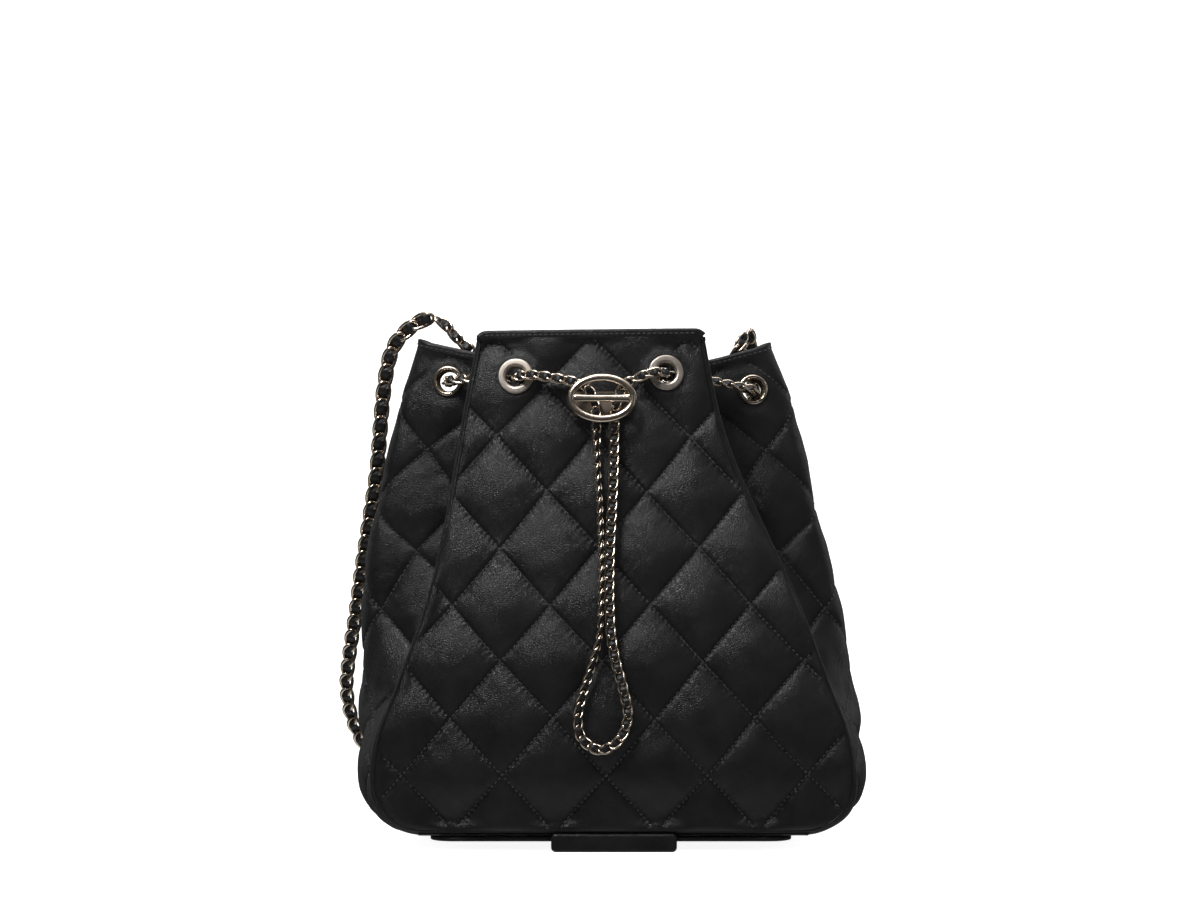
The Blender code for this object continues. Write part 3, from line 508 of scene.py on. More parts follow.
def studio():
    data = bpy.data.cameras.new("camera")
    data.lens, data.sensor_width = 108.0, 36.0
    data.clip_start, data.clip_end = 0.05, 50.0
    camera = bpy.data.objects.new("camera", data)
    camera.location = (-0.005, -1.860, 0.20125)
    camera.rotation_euler = (math.radians(90), 0, 0)
    bpy.context.scene.collection.objects.link(camera)
    bpy.context.scene.camera = camera

    n = Nodes("pale_floor")
    n.link(n.ramp(n.noise(n.place(), 3.0), ((0.0, (0.55, 0.55, 0.55)), (1.0, (0.58, 0.58, 0.58)))),
           n.shader.inputs["Base Color"])
    n.shader.inputs["Roughness"].default_value = 0.9
    n.shader.inputs["Emission Color"].default_value = (1, 1, 1, 1)
    n.shader.inputs["Emission Strength"].default_value = 0.90
    radius, bend, height, around = 4.2, 1.2, 5.0, 96
    profile = [(r, 0.0) for r in (0.4, 1.2, radius - bend)]
    profile += [(radius - bend + bend * math.sin(a), bend * (1 - math.cos(a)))
                for a in np.linspace(0, math.pi / 2, 17)[1:]]
    profile.append((radius, height))
    verts = [(r * math.cos(a), r * math.sin(a), z) for r, z in profile
             for a in np.linspace(0, 2 * math.pi, around, endpoint=False)]
    faces = [tuple(range(around))] + grid_faces(len(profile), around, ring=True, flip=True)
    mesh = bpy.data.meshes.new("floor")
    mesh.from_pydata(verts, [], faces)
    mesh.materials.append(n.material)
    mesh.polygons.foreach_set("use_smooth", [True] * len(mesh.polygons))
    floor = bpy.data.objects.new("floor", mesh)
    bpy.context.scene.collection.objects.link(floor)
    floor.visible_glossy = False

    world = bpy.data.worlds.new("studio")
    world.use_nodes = True
    tree = world.node_tree
    direction = tree.nodes.new("ShaderNodeTexCoord")
    split = tree.nodes.new("ShaderNodeSeparateXYZ")
    steepness = tree.nodes.new("ShaderNodeMath")
    steepness.operation = "ABSOLUTE"
    glow = tree.nodes.new("ShaderNodeMapRange")
    for key, value in (("From Min", 0.60), ("From Max", 0.90), ("To Min", 0.03), ("To Max", 0.60)):
        glow.inputs[key].default_value = value
    backdrop = tree.nodes["Background"]
    backdrop.inputs["Color"].default_value = (1, 1, 1, 1)
    for source, socket in ((direction.outputs["Generated"], split.inputs[0]),
                           (split.outputs["Z"], steepness.inputs[0]),
                           (steepness.outputs[0], glow.inputs["Value"]),
                           (glow.outputs["Result"], backdrop.inputs["Strength"])):
        tree.links.new(source, socket)
    bpy.context.scene.world = world
    target = Vector((0, 0, 0.13))
    for name, place, size, power in (("key", (-0.36, -0.62, 1.02), (0.32, 0.32), 9.0),
                                     ("fill", (1.3, -1.2, 0.55), (0.7, 0.9), 0.7),
                                     ("top", (0.1, 0.0, 1.7), (1.2, 0.9), 9.0),
                                     ("back_left", (-1.3, 0.9, 0.7), (0.4, 1.2), 1.4),
                                     ("back_right", (1.4, 0.7, 0.7), (0.4, 1.2), 3.0)):
        light = bpy.data.lights.new(name, "AREA")
        light.shape = "RECTANGLE"
        light.size, light.size_y = size
        light.energy = power
        made = bpy.data.objects.new(name, light)
        made.location = place
        made.rotation_euler = (target - Vector(place)).to_track_quat("-Z", "Y").to_euler()
        bpy.context.scene.collection.objects.link(made)
    bpy.context.scene.view_settings.view_transform = "Standard"


# --- Quilting -----------------------------------------------------------------------------

PANEL_ROWS = ((9.7, -0.5), (38.2, 0), (96, 1), (152.5, 2), (209.3, 3), (258.6, 4))
PANEL_COLUMN = ((9, -2.2), (38, -2.5), (96, -4.0), (152, -5.6), (209, -8.0), (258, -9.6))
GUSSET_ROWS = ((-16, -.5), (40, .5), (67, 1), (94, 1.5), (120, 2), (149, 2.5), (173, 3),
               (201, 3.5), (226, 4), (252, 4.5), (278, 5))
RIDGE_COLUMN = ((60, 1.5), (94, 1.45), (120, 1.35), (151, 1.12), (175, 1.0), (262, 0.98))
LINE_GAP = 38.2               # between parallel stitch lines
PUFF = 3.0                    # depth of the stitch lines under the pillows' tops
DOME = 19.1
ROUTE_STEP = 38.2


STITCH, THREAD_RADIUS = (2.75, 1.95), 0.34


def quilt_depth(first, second, puff=PUFF):
    """How far the surface lies under the CAD surface, and the groove share that paints shade into the
    grooves, from line coordinates.
    """
    d1 = np.abs(first - np.round(first)) * LINE_GAP
    d2 = np.abs(second - np.round(second)) * LINE_GAP
    dome = [1 - (1 - np.clip(d / DOME, 0, 1)) ** 2.2 for d in (d1, d2)]
    depth = puff * (1 - dome[0] * dome[1])
    near = np.minimum(d1, d2)
    depth += 0.65 * np.exp(-(near / 1.15) ** 2)
    pucker = np.zeros_like(near)
    for d, along, seed in ((d1, second, 3), (d2, first, 5)):
        mm = along * ROUTE_STEP
        ripple = np.sin(mm * 1.26 + 2.2 * np.sin(mm * 0.23 + seed)) + 0.6 * np.sin(mm * 0.55 + seed)
        pucker += ripple * np.exp(-d / 3.6) * smooth(0, 0.9, d) * 0.13
        pucker += np.cos(2 * np.pi * mm / STITCH[0]) * np.exp(-(d - 0.8) ** 2 / 0.9) * 0.26
    return depth + pucker, np.exp(-(near / 1.0) ** 2)


def eyelet_places():
    """(name, side, point, outward normal, flange radius) of each eyelet."""
    places = []
    for side_name, side in (("left", -1), ("right", 1)):
        z = {-1: 238.5, 1: 240.3}[side]
        x = float(lean(PANEL_LEAN, z)) + side * 38.0
        for part, q, height in (("fold", 1.62, {-1: 238.0, 1: 237.0}[side]),
                                ("wing", {-1: 4.95, 1: 5.2}[side], {-1: 236.7, 1: 232.3}[side])):
            for end, along in (("front", q), ("back", SEAM_END - q)):
                point, normal = gusset_point(side, height, along)
                places.append((f"{end}_{part}_eyelet_{side_name}", side, point, normal, 7.8))
        for end, face in (("front", -1), ("back", 1)):
            point, normal = panel_point(x, z, face)
            places.append((f"{end}_eyelet_{side_name}", side, point, normal, 9.0))
    return places


PLACES = eyelet_places()


def around_eyelets(points, reach=20.0):
    """Distance of each point from the nearest eyelet's middle."""
    distance = np.full(points.shape[:-1], 99.0)
    for _, _, centre, normal, flange in PLACES:
        away = points - centre
        height = np.abs(away @ normal)
        radial = np.linalg.norm(away - (away @ normal)[..., None] * normal, axis=-1)
        distance = np.where(height < 6.0, np.minimum(distance, radial - (flange - 7.8)), distance)
    return distance


def panel_edge(x, z):
    """Distance in from a panel's seam line."""
    across = np.abs(x - lean(PANEL_LEAN, z))
    corner = CORNER_RADIUS - np.hypot(np.maximum(across - (BELLY_HALF - CORNER_RADIUS), 0), BELLY - z)
    low = np.where(across > BELLY_HALF - CORNER_RADIUS, corner, z - SEAM_BOTTOM)
    return np.where(z >= BELLY, (half_width(z) - across) * 0.955, low)


def finish_sheet(name, base, normals, depth, groove, replaces, flip=False):
    """Mesh of a displaced grid with a rim turned in all round, open where the eyelets pass."""
    points = base - normals * depth[..., None]
    padded_points = np.pad(points, ((1, 1), (1, 1), (0, 0)), mode="edge")
    padded_normals = np.pad(normals, ((1, 1), (1, 1), (0, 0)), mode="edge")
    rim = np.zeros(padded_points.shape[:2])
    rim[0], rim[-1], rim[:, 0], rim[:, -1] = 1, 1, 1, 1
    full = padded_points - padded_normals * (rim * 1.6)[..., None]
    rows, columns = full.shape[:2]
    near = np.pad(around_eyelets(base), 1, mode="edge")
    flat = near.ravel()
    faces = [f for f in grid_faces(rows, columns, flip=flip) if min(flat[i] for i in f) > 5.35]
    # The groove share goes on the mesh as a point attribute; the leather material darkens with it: painted
    # shade in the grooves.
    attribute = np.pad(groove, 1, mode="edge")
    made = make_object(name, full.reshape(-1, 3), faces, QUILTED, "quilted_leather",
                       attributes={"groove": attribute}, replaces=replaces)
    bm = bmesh.new()
    bm.from_mesh(made.data)
    bmesh.ops.delete(bm, geom=[v for v in bm.verts if not v.link_faces], context="VERTS")
    bm.to_mesh(made.data)
    bm.free()
    return points


def add_stitches(parts, line, normals, pitch=STITCH[0], length=STITCH[1], lift=0.12,
                 radius=THREAD_RADIUS):
    """Dashes of thread along a line of points."""
    steps = np.linalg.norm(np.diff(line, axis=0), axis=1)
    along = np.concatenate(([0], np.cumsum(steps)))
    if along[-1] < pitch * 1.5:
        return
    starts = np.arange(pitch * 0.3, along[-1] - length, pitch)
    at = lambda values, where: np.stack([np.interp(where, along, values[:, k]) for k in range(3)], -1)
    for s in starts:
        spots = at(line, np.array((s, s + 0.3, s + length - 0.3, s + length)))
        up = at(normals, np.array((s + length / 2,)))[0]
        up = up / np.linalg.norm(up)
        t = spots[3] - spots[0]
        t = t / np.linalg.norm(t)
        side = np.cross(up, t)
        heights = np.array((-0.25, lift, lift, -0.25))
        radii = (0.02, radius, radius, 0.02)
        verts = []
        for spot, height, r in zip(spots, heights, radii):
            for a in np.linspace(0, 2 * np.pi, 5, endpoint=False):
                verts.append(spot + up * (height + r * math.sin(a)) + side * r * math.cos(a))
        parts.add(verts, grid_faces(4, 5, ring=True) + [(4, 3, 2, 1, 0), (15, 16, 17, 18, 19)])


def trace(values, level, points, normals, valid):
    """Where a field that changes one way along each row of a grid passes a level: lines."""
    lines, current = [], []
    for i in range(values.shape[0]):
        row = values[i]
        ordered = row if row[-1] > row[0] else row[::-1]
        if not ordered[0] <= level <= ordered[-1]:
            if len(current) > 3:
                lines.append(current)
            current = []
            continue
        j = np.arange(len(row), dtype=float)
        spot = np.interp(level, ordered, j if row[-1] > row[0] else j[::-1])
        a = int(min(spot, len(row) - 2))
        f = spot - a
        if valid[i, a] and valid[i, a + 1]:
            current.append((points[i, a] * (1 - f) + points[i, a + 1] * f,
                            normals[i, a] * (1 - f) + normals[i, a + 1] * f))
        else:
            if len(current) > 3:
                lines.append(current)
            current = []
    if len(current) > 3:
        lines.append(current)
    return [(np.array([c[0] for c in line]), np.array([c[1] for c in line])) for line in lines]


def quilt_lines(parts, points, normals, first, second, valid):
    for values in (first, second):
        for level in range(math.ceil(values.min()), math.floor(values.max()) + 1):
            for line, up in trace(values, level, points, normals, valid):
                add_stitches(parts, line, up)


# --- Leather body -------------------------------------------------------------------------

PANEL_EDGE = 1.6


def panel_levels(step):
    radius = CORNER_RADIUS - PANEL_EDGE
    turns = np.radians(np.linspace(90, 0, round(radius * 1.57 / step) + 1))
    low = BELLY - radius * np.sin(turns)
    high = np.linspace(BELLY, PANEL_TOP, round((PANEL_TOP - BELLY) / step) + 1)[1:]
    return np.concatenate((low, high))


TOP_RISE, TOP_TILT = 1.5, 0.7


def corner_drop(u):
    """How far the panel's top edge lies under its nominal height, at shares of the width."""
    return 2.2 * np.clip((np.abs(u) - 0.92) / 0.08, 0, 1) ** 2.4 - TOP_RISE - TOP_TILT * u


def make_panel(name, face, step, seed):
    z = panel_levels(step)[:, None]
    columns = round(236 / step)
    u = np.linspace(-1, 1, columns + 1)[None]
    x = lean(PANEL_LEAN, z) + half_width(z, PANEL_EDGE) * u
    z = z - corner_drop(u) * smooth(235, PANEL_TOP, z)
    base, normals = panel_point(x, z, face)
    column = np.interp(z, *zip(*PANEL_COLUMN))
    spacing = 51.3 - 1.8 * smooth(40, 215, z)
    wander = waves(base, 90.0, seed)
    c = (x - column + 0.5 * wander) / spacing
    r = through_rows(PANEL_ROWS, z + 0.5 * waves(base, 80.0, seed + 1))
    first, second = r - c, r + c
    depth, groove = quilt_depth(first, second)
    slack = 0.55 * (1 + waves(base, 46.0, seed + 2)) + 0.22 * waves(base, 13.0, seed + 3)
    depth = depth + np.maximum(slack, 0) * 0.6
    edge = panel_edge(x, z)
    flatten = smooth(0.5, 8, edge)
    depth = depth * flatten + 0.3 * (1 - flatten)
    upper = smooth(120, 190, z)
    depth = depth + (1.1 + 1.3 * upper) * (1 - np.clip((edge - 1.4) / (3.5 + 4.0 * upper), 0, 1)) ** 2
    near = around_eyelets(base)
    calm = smooth(8.6, 13.5, near)
    radial = 0.22 * np.sin(np.arctan2(z - 239, np.abs(x - lean(PANEL_LEAN, z)) - 38) * 9)
    depth = depth * calm + (0.65 + radial * smooth(8.5, 12, near)) * (1 - calm)
    top = smooth(255.5, 259.5, z)
    depth = depth * (1 - top) + 0.35 * top
    # Groove share for the painted shade, faded out round the eyelets, at the seams and at the top edge.
    groove = groove * calm * smooth(2, 4, edge) * (1 - smooth(256.5, 259, z))
    points = finish_sheet(f"{name}_leather", base, normals, depth, groove, [name], flip=face > 0)
    parts = Parts()
    up = grid_normals(points) * (1 if face < 0 else -1)
    quilt_lines(parts, points, up, first, second, (near > 9.4) & (edge > 2.4) & (z < 258.0))
    parts.make(f"{name}_stitching", THREAD, "quilted_leather")
    return points


def through_rows(stations, z):
    h, v = (np.array([s[k] for s in stations], float) for k in (0, 1))
    return np.interp(z, h, v)


def gusset_row(side, fraction, turn, share, edge):
    """A gusset row: its points at shares of the way round, and the distance from the ridge."""
    q = np.linspace(0, SEAM_END, 561)

    def at(values):
        if turn:
            return side_surface(side, BELLY + 0 * values, values, turn)
        top = gusset_top(side, values)
        return side_surface(side, BELLY + (top - BELLY) * fraction, values)

    dense = at(q)
    arc = np.concatenate(([0], np.cumsum(np.linalg.norm(np.diff(dense, axis=0), axis=1))))
    wanted = edge + (arc[-1] - 2 * edge) * share
    return at(np.interp(wanted, arc, q)), np.abs(wanted - arc[-1] / 2), wanted - edge, arc[-1] - 2 * edge


def make_gusset(name, side, step, seed):
    share = np.linspace(0, 1, round(176 / step) + 1)
    rows = []
    turns = np.radians(np.linspace(90, 0, round(47 / step) + 1)[:-1])
    for turn in turns:
        rows.append((*gusset_row(side, 0.0, turn, share, 1.5), BELLY - CORNER_RADIUS * turn))
    for fraction in np.linspace(0, 1, round((PANEL_TOP - BELLY) / step) + 1):
        rows.append((*gusset_row(side, fraction, 0.0, share, 1.5), None))
    base = np.array([row[0] for row in rows])
    from_ridge = np.array([row[1] for row in rows])
    from_edge = np.array([np.minimum(row[2], row[3] - row[2]) for row in rows])
    height = np.array([base[i, :, 2] if row[4] is None else np.full(len(share), row[4])
                       for i, row in enumerate(rows)])
    normals = grid_normals(base) * (1 if side > 0 else -1)
    if (normals[len(turns) + 20:, :, 0] * side).mean() < 0:
        normals = -normals
    r = through_rows(GUSSET_ROWS, height + 0.5 * waves(base, 80.0, seed + 1))
    c = np.interp(height, *zip(*RIDGE_COLUMN)) - from_ridge / 51.0
    first, second = r - c, r + c
    fold = (1 - smooth(6, 26, from_ridge)) * smooth(70, 130, height)
    puff = 2.5 * (1 - 0.45 * fold) * (1 - 0.45 * smooth(195, 235, height))
    depth, groove = quilt_depth(first, second, puff)
    slack = 0.40 * (1 + waves(base, 40.0, seed + 2)) + 0.25 * waves(base, 12.0, seed + 3)
    depth = depth + np.maximum(slack, 0) * 0.6
    flatten = smooth(0.5, 8, from_edge)
    depth = depth * flatten + 0.4 * (1 - flatten)
    depth = depth + 1.1 * (1 - np.clip(from_edge / 3.0, 0, 1)) ** 2
    near = around_eyelets(base)
    calm = smooth(8.6, 13.5, near)
    depth = depth * calm + 0.65 * (1 - calm)
    below = base[-1][None, :, 2] - base[..., 2]
    trim = 1 - smooth(1.0, 5.0, below)
    depth = depth * (1 - trim) + 0.25 * trim
    bottom = smooth(0, 12, height + 10)
    depth = depth * bottom + 0.3 * (1 - bottom)
    # Groove share for the painted shade, faded out round the eyelets, at the seams and under the binding.
    groove = groove * calm * smooth(2, 5, from_edge) * (1 - trim)
    points = finish_sheet(f"{name}_leather", base, normals, depth, groove, [name], flip=side < 0)
    up = grid_normals(points)
    if (up * normals).sum(-1).mean() < 0:
        up = -up
    parts = Parts()
    middle = len(share) // 2
    valid = (near > 9.4) & (from_edge > 2.4) & (below > 2.6) & (height > -2)
    for half in (slice(0, middle + 1), slice(middle, None)):
        quilt_lines(parts, points[:, half], up[:, half], first[:, half], second[:, half],
                    valid[:, half])
    parts.make(f"{name}_stitching", THREAD, "quilted_leather")
    return points


def seam_route(face):
    z = BELLY + (PANEL_TOP - 2.5 - BELLY) * np.linspace(1, 0, 90)
    route = [(float(half_width(h)), h) for h in z]
    for turn in np.radians(np.linspace(0, 90, 16)[1:]):
        route.append((BELLY_HALF - CORNER_RADIUS * (1 - math.cos(turn)),
                      BELLY - CORNER_RADIUS * math.sin(turn)))
    left = [(float(lean(PANEL_LEAN, h)) - x, face * float(half_depth(h)), h) for x, h in route]
    right = [(float(lean(PANEL_LEAN, h)) + x, face * float(half_depth(h)), h)
             for x, h in reversed(route)]
    return np.array(left + right)


def make_pipings():
    for name, face in (("piping_front", -1), ("piping_back", 1)):
        path = resampled(seam_route(face), 1.6)
        along = np.gradient(path, axis=0)
        inward = np.stack((-along[:, 2], 0 * along[:, 0], along[:, 0]), -1)
        inward /= np.linalg.norm(inward, axis=1, keepdims=True)
        inward[:, 1] = -face
        upper = smooth(80, 150, path[:, 2])
        path = path + inward * (1.45 + 0.35 * upper)[:, None]
        swell = 1 + 0.05 * waves(path, 9.0, 40 + face) - 0.25 * upper
        verts, faces = sweep(path, circle(0.85, 12), up=(0, face, 0), scale=swell)
        make_object(f"{name}_leather", verts, faces, PLAIN, "plain_leather", replaces=[name])


def binding(name, path, outward, face=0):
    """A folded strip over an edge: outward is the direction away from the bag at each point."""
    if face:
        outward = np.tile((0.0, float(face), 0.0), (len(path), 1))
    tangents = np.gradient(path, axis=0)
    tangents /= np.linalg.norm(tangents, axis=1, keepdims=True)
    up = np.cross(tangents, outward)
    up *= np.sign(up[:, 2:3])
    up /= np.linalg.norm(up, axis=1, keepdims=True)
    section = rounded([(-0.15, -2.6), (0.12, -2.2), (0.12, 1.7), (-5.7, 1.7), (-5.7, -1.6),
                       (-5.2, -1.6), (-5.2, -0.3), (-0.5, -0.3), (-0.5, -2.6)], 1.6, 6)
    ripple = 1 + 0.02 * waves(path, 7.0, 11)
    tip = path[np.argmax(np.abs(path[:, 0]))] if not face else path[0] + 99.0
    slim = 0.30 + 0.70 * smooth(0.5, 9.0, np.linalg.norm(path - tip, axis=1))
    depth = np.minimum(section[None, :, 0], 0) * slim[:, None] + np.maximum(section[None, :, 0], 0)
    verts = (path[:, None] + outward[:, None] * depth[..., None]
             + up[:, None] * section[None, :, 1:] * ripple[:, None, None]).reshape(-1, 3)
    rows, columns = len(path), len(section)
    faces = grid_faces(rows, columns, ring=True)
    faces += [tuple(range(columns))[::-1], tuple(range((rows - 1) * columns, rows * columns))]
    made = make_object(f"{name}_leather", verts, faces, PLAIN, "plain_leather", replaces=[name])
    bm = bmesh.new()
    bm.from_mesh(made.data)
    bmesh.ops.recalc_face_normals(bm, faces=bm.faces)
    bm.to_mesh(made.data)
    bm.free()
    thread = Parts()
    row = slice(3, -3)
    add_stitches(thread, (path + outward * 0.10 - up * 0.9)[row], outward[row])
    thread.make(f"{name}_stitching", THREAD, "plain_leather")


def make_bindings():
    for name, face in (("binding_front", -1), ("binding_back", 1)):
        z = PANEL_TOP + 0.2
        u = np.linspace(-1, 1, 160)
        x = lean(PANEL_LEAN, z) + half_width(z, PANEL_EDGE) * u
        points, _ = panel_point(x, z - corner_drop(u), face)
        binding(name, resampled(points, 0.9), None, face)
    for name, side in (("binding_left", -1), ("binding_right", 1)):
        q = np.linspace(1.5, SEAM_END - 1.5, 1200)
        path = side_surface(side, gusset_top(side, q) + 0.2, q)
        path = resampled(path, 1.2)
        flat = np.gradient(path, axis=0)
        outward = np.stack((flat[:, 1], -flat[:, 0], 0 * flat[:, 0]), -1)
        outward *= side
        outward /= np.linalg.norm(outward, axis=1, keepdims=True)
        binding(name, path, outward)


def slab(name, x, y, z, corner, edge, material, slot, replaces=(), body=BODY, grain_seed=1):
    """A soft-edged flat block with rounded corners."""
    bm = bmesh.new()
    size = Vector((x[1] - x[0], y[1] - y[0], z[1] - z[0]))
    centre = Vector((sum(x), sum(y), sum(z))) / 2
    bmesh.ops.create_cube(bm, size=1, matrix=Matrix.Translation(centre) @ Matrix.Diagonal((*size, 1)))
    thin = min(range(3), key=lambda k: size[k])
    upright = [e for e in bm.edges if abs(e.verts[0].co[thin] - e.verts[1].co[thin]) > size[thin] / 2]
    bmesh.ops.bevel(bm, geom=upright, offset=corner, segments=10, affect="EDGES", profile=0.5)
    caps = [e for e in bm.edges if abs(e.verts[0].co[thin] - e.verts[1].co[thin]) < 1e-6]
    bmesh.ops.bevel(bm, geom=caps, offset=edge, segments=4, affect="EDGES", profile=0.5)
    verts = [tuple(v.co) for v in bm.verts]
    faces = [tuple(v.index for v in f.verts) for f in bm.faces]
    bm.verts.index_update()
    faces = [tuple(v.index for v in f.verts) for f in bm.faces]
    bm.free()
    made = make_object(name, verts, faces, material, slot, replaces=replaces, body=body)
    made.data.set_sharp_from_angle(angle=math.radians(50))
    return made


def make_base():
    rows = []
    share = np.linspace(0, 1, 90)
    left, right = [gusset_row(side, 0.0, math.radians(90), share, 1.5)[0] for side in (-1, 1)]
    for f in np.linspace(-0.012, 1.012, 130):
        rows.append(left * (1 - f) + right * f)
    base = np.array(rows)
    sag = 0.35 * (1 + waves(base, 30.0, 77)) * 0.5
    base[..., 2] += sag
    flat = base.reshape(-1, 3)
    under = flat + np.array((0, 0, 2.2))
    n = len(flat)
    shape = base.shape[:2]
    faces = grid_faces(*shape) + grid_faces(*shape, start=n, flip=True)
    border = ([(0, j) for j in range(shape[1])] + [(i, shape[1] - 1) for i in range(1, shape[0])]
              + [(shape[0] - 1, j) for j in range(shape[1] - 2, -1, -1)]
              + [(i, 0) for i in range(shape[0] - 2, 0, -1)])
    index = [i * shape[1] + j for i, j in border]
    faces += [(a, b, b + n, a + n) for a, b in zip(index, index[1:] + index[:1])]
    make_object("base_panel_leather", np.concatenate((flat, under)), faces, PLAIN, "plain_leather",
                replaces=["base_panel"])
    pad = slab("base_pad_leather", (-90.5, 91.5), (-56, 56), (5.0, 7.2), 12, 0.9, PLAIN,
               "plain_leather", ["base_pad"])
    foot = slab("base_foot_leather", (-29.5, 33.5), (-58, 58), (0.0, 4.7), 4, 1.5, PLAIN,
                "plain_leather", ["base_foot"])
    for name, y in (("base_foot_front", (-60.2, -56.0)), ("base_foot_back", (56.0, 60.2))):
        slab(name, (-29.5, 33.5), y, (0.0, 9.3), 2.5, 1.3, PLAIN, "plain_leather")
    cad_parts["base_board"].data.materials.clear()
    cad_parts["base_board"].data.materials.append(BOARD)
    return pad, foot


# --- Lining and pockets -------------------------------------------------------------------

SIDE_FRACTIONS = (1.0, 0.86, 0.70, 0.54, 0.38, 0.22, 0.09, 0.0)
GUSSET_COLUMNS = (1.3, 2.1, 2.7, 3.0, 3.4, 4.4, 5.6, 6.35, 7.0)
LINING_PANEL = (-0.93, -0.5, 0.0, 0.5, 0.93)


def body_ring(low_z, high_z, fraction):
    """Points round the bag's outer surface at one level of the lining."""
    ring = []

    def place(surface, top):
        z = low_z + ((high_z or float(top)) - low_z) * fraction
        lifted = z - LINING_INSET * (1 - float(smooth(30, 50, z)))
        point = np.array(surface(max(lifted, 45.0)), float)
        if lifted < 45.0:
            low = max(lifted, SEAM_BOTTOM + 0.2)
            middle = float(lean(PANEL_LEAN, low))
            point[0] = middle + (point[0] - middle) * float(half_width(low) / half_width(45.0))
            point[1] *= float(through(CENTRE_DEPTH, low) / through(CENTRE_DEPTH, 45.0))
        point[2] = z
        ring.append(point)

    def panel(p, face):
        place(lambda z: panel_point(lean(PANEL_LEAN, z) + p * half_width(z), z, face)[0],
              PANEL_TOP - 1.8)

    def gusset(side, q):
        place(lambda z: side_surface(side, z, q), gusset_top(side, q) - 1.8)

    columns = GUSSET_COLUMNS + tuple(SEAM_END - q for q in reversed(GUSSET_COLUMNS[:-1]))
    for p in LINING_PANEL:
        panel(p, -1)
    for q in columns:
        gusset(1, q)
    for p in reversed(LINING_PANEL):
        panel(p, 1)
    for q in reversed(columns):
        gusset(-1, q)
    return np.array(ring)


def inset_ring(ring, distance):
    before = ring - np.roll(ring, 1, axis=0)
    after = np.roll(ring, -1, axis=0) - ring
    first = before[:, :2] / np.linalg.norm(before[:, :2], axis=1, keepdims=True)
    second = after[:, :2] / np.linalg.norm(after[:, :2], axis=1, keepdims=True)
    normal = np.stack((-first[:, 1], first[:, 0]), -1)
    inward = normal + np.stack((-second[:, 1], second[:, 0]), -1)
    inward /= np.linalg.norm(inward, axis=1, keepdims=True)
    squeeze = np.maximum(0.35, np.sum(inward * normal, 1))
    moved = ring.copy()
    moved[:, :2] += inward * (distance / squeeze)[:, None]
    return moved


def make_lining():
    floor = 12.2
    levels = [(floor, BELLY, f) for f in (0.0, 0.12, 0.45)]
    levels += [(BELLY, None, f) for f in reversed(SIDE_FRACTIONS)]
    coarse = np.array([inset_ring(body_ring(*level), LINING_INSET + LINING) for level in levels])
    coarse[0, :, 2] += LINING
    rows = np.linspace(0, len(coarse) - 1, 111)
    tall = np.stack([np.interp(rows, np.arange(len(coarse)), coarse[:, j, k])
                     for j in range(coarse.shape[1]) for k in range(3)], -1)
    tall = tall.reshape(len(rows), coarse.shape[1], 3)
    ring = np.concatenate((tall, tall[:, :1]), 1)
    count = 6
    fine = []
    for j in range(tall.shape[1]):
        for k in range(count):
            f = k / count
            fine.append(ring[:, j] * (1 - f) + ring[:, j + 1] * f)
    points = np.stack(fine, 1)
    centre = np.array((0.0, 0.0, 0.0))
    inward = centre - points
    inward[..., 2] = 0
    inward /= np.linalg.norm(inward, axis=-1, keepdims=True)
    sag = (1 + waves(points, 26.0, 91, stretch=(1, 1, 0.45))) * 0.35 * smooth(14, 30, points[..., 2])
    sag *= 1 - smooth(225, 245, points[..., 2])
    points = points + inward * np.maximum(sag, 0)[..., None]
    near = np.full(points.shape[:2], 99.0)
    for _, _, spot, normal, _ in PLACES:
        away = points - spot
        along = away @ normal
        radial = np.linalg.norm(away - along[..., None] * normal, axis=-1)
        near = np.where(np.abs(along) < 9.0, np.minimum(near, radial), near)
    flat = near.ravel()
    shape = points.shape[:2]
    faces = [f for f in grid_faces(*shape, ring=True) if min(flat[i] for i in f) > 6.0]
    faces.append(tuple(range(shape[1])))
    verts = points.reshape(-1, 3)
    made = make_object("lining_cloth", verts, faces, TEXTILE, "lining_textile", replaces=["lining"])
    bm = bmesh.new()
    bm.from_mesh(made.data)
    bmesh.ops.delete(bm, geom=[v for v in bm.verts if not v.link_faces], context="VERTS")
    bmesh.ops.triangulate(bm, faces=[f for f in bm.faces if len(f.verts) > 4])
    bm.to_mesh(made.data)
    bm.free()
    thick = made.modifiers.new("thickness", "SOLIDIFY")
    thick.thickness, thick.offset = 0.6 * MM, 0.0


ZIP_Z, ZIP_Y, ZIP_HALF, ZIP_PARK = 168.0, 43.0, 52.0, -44.0


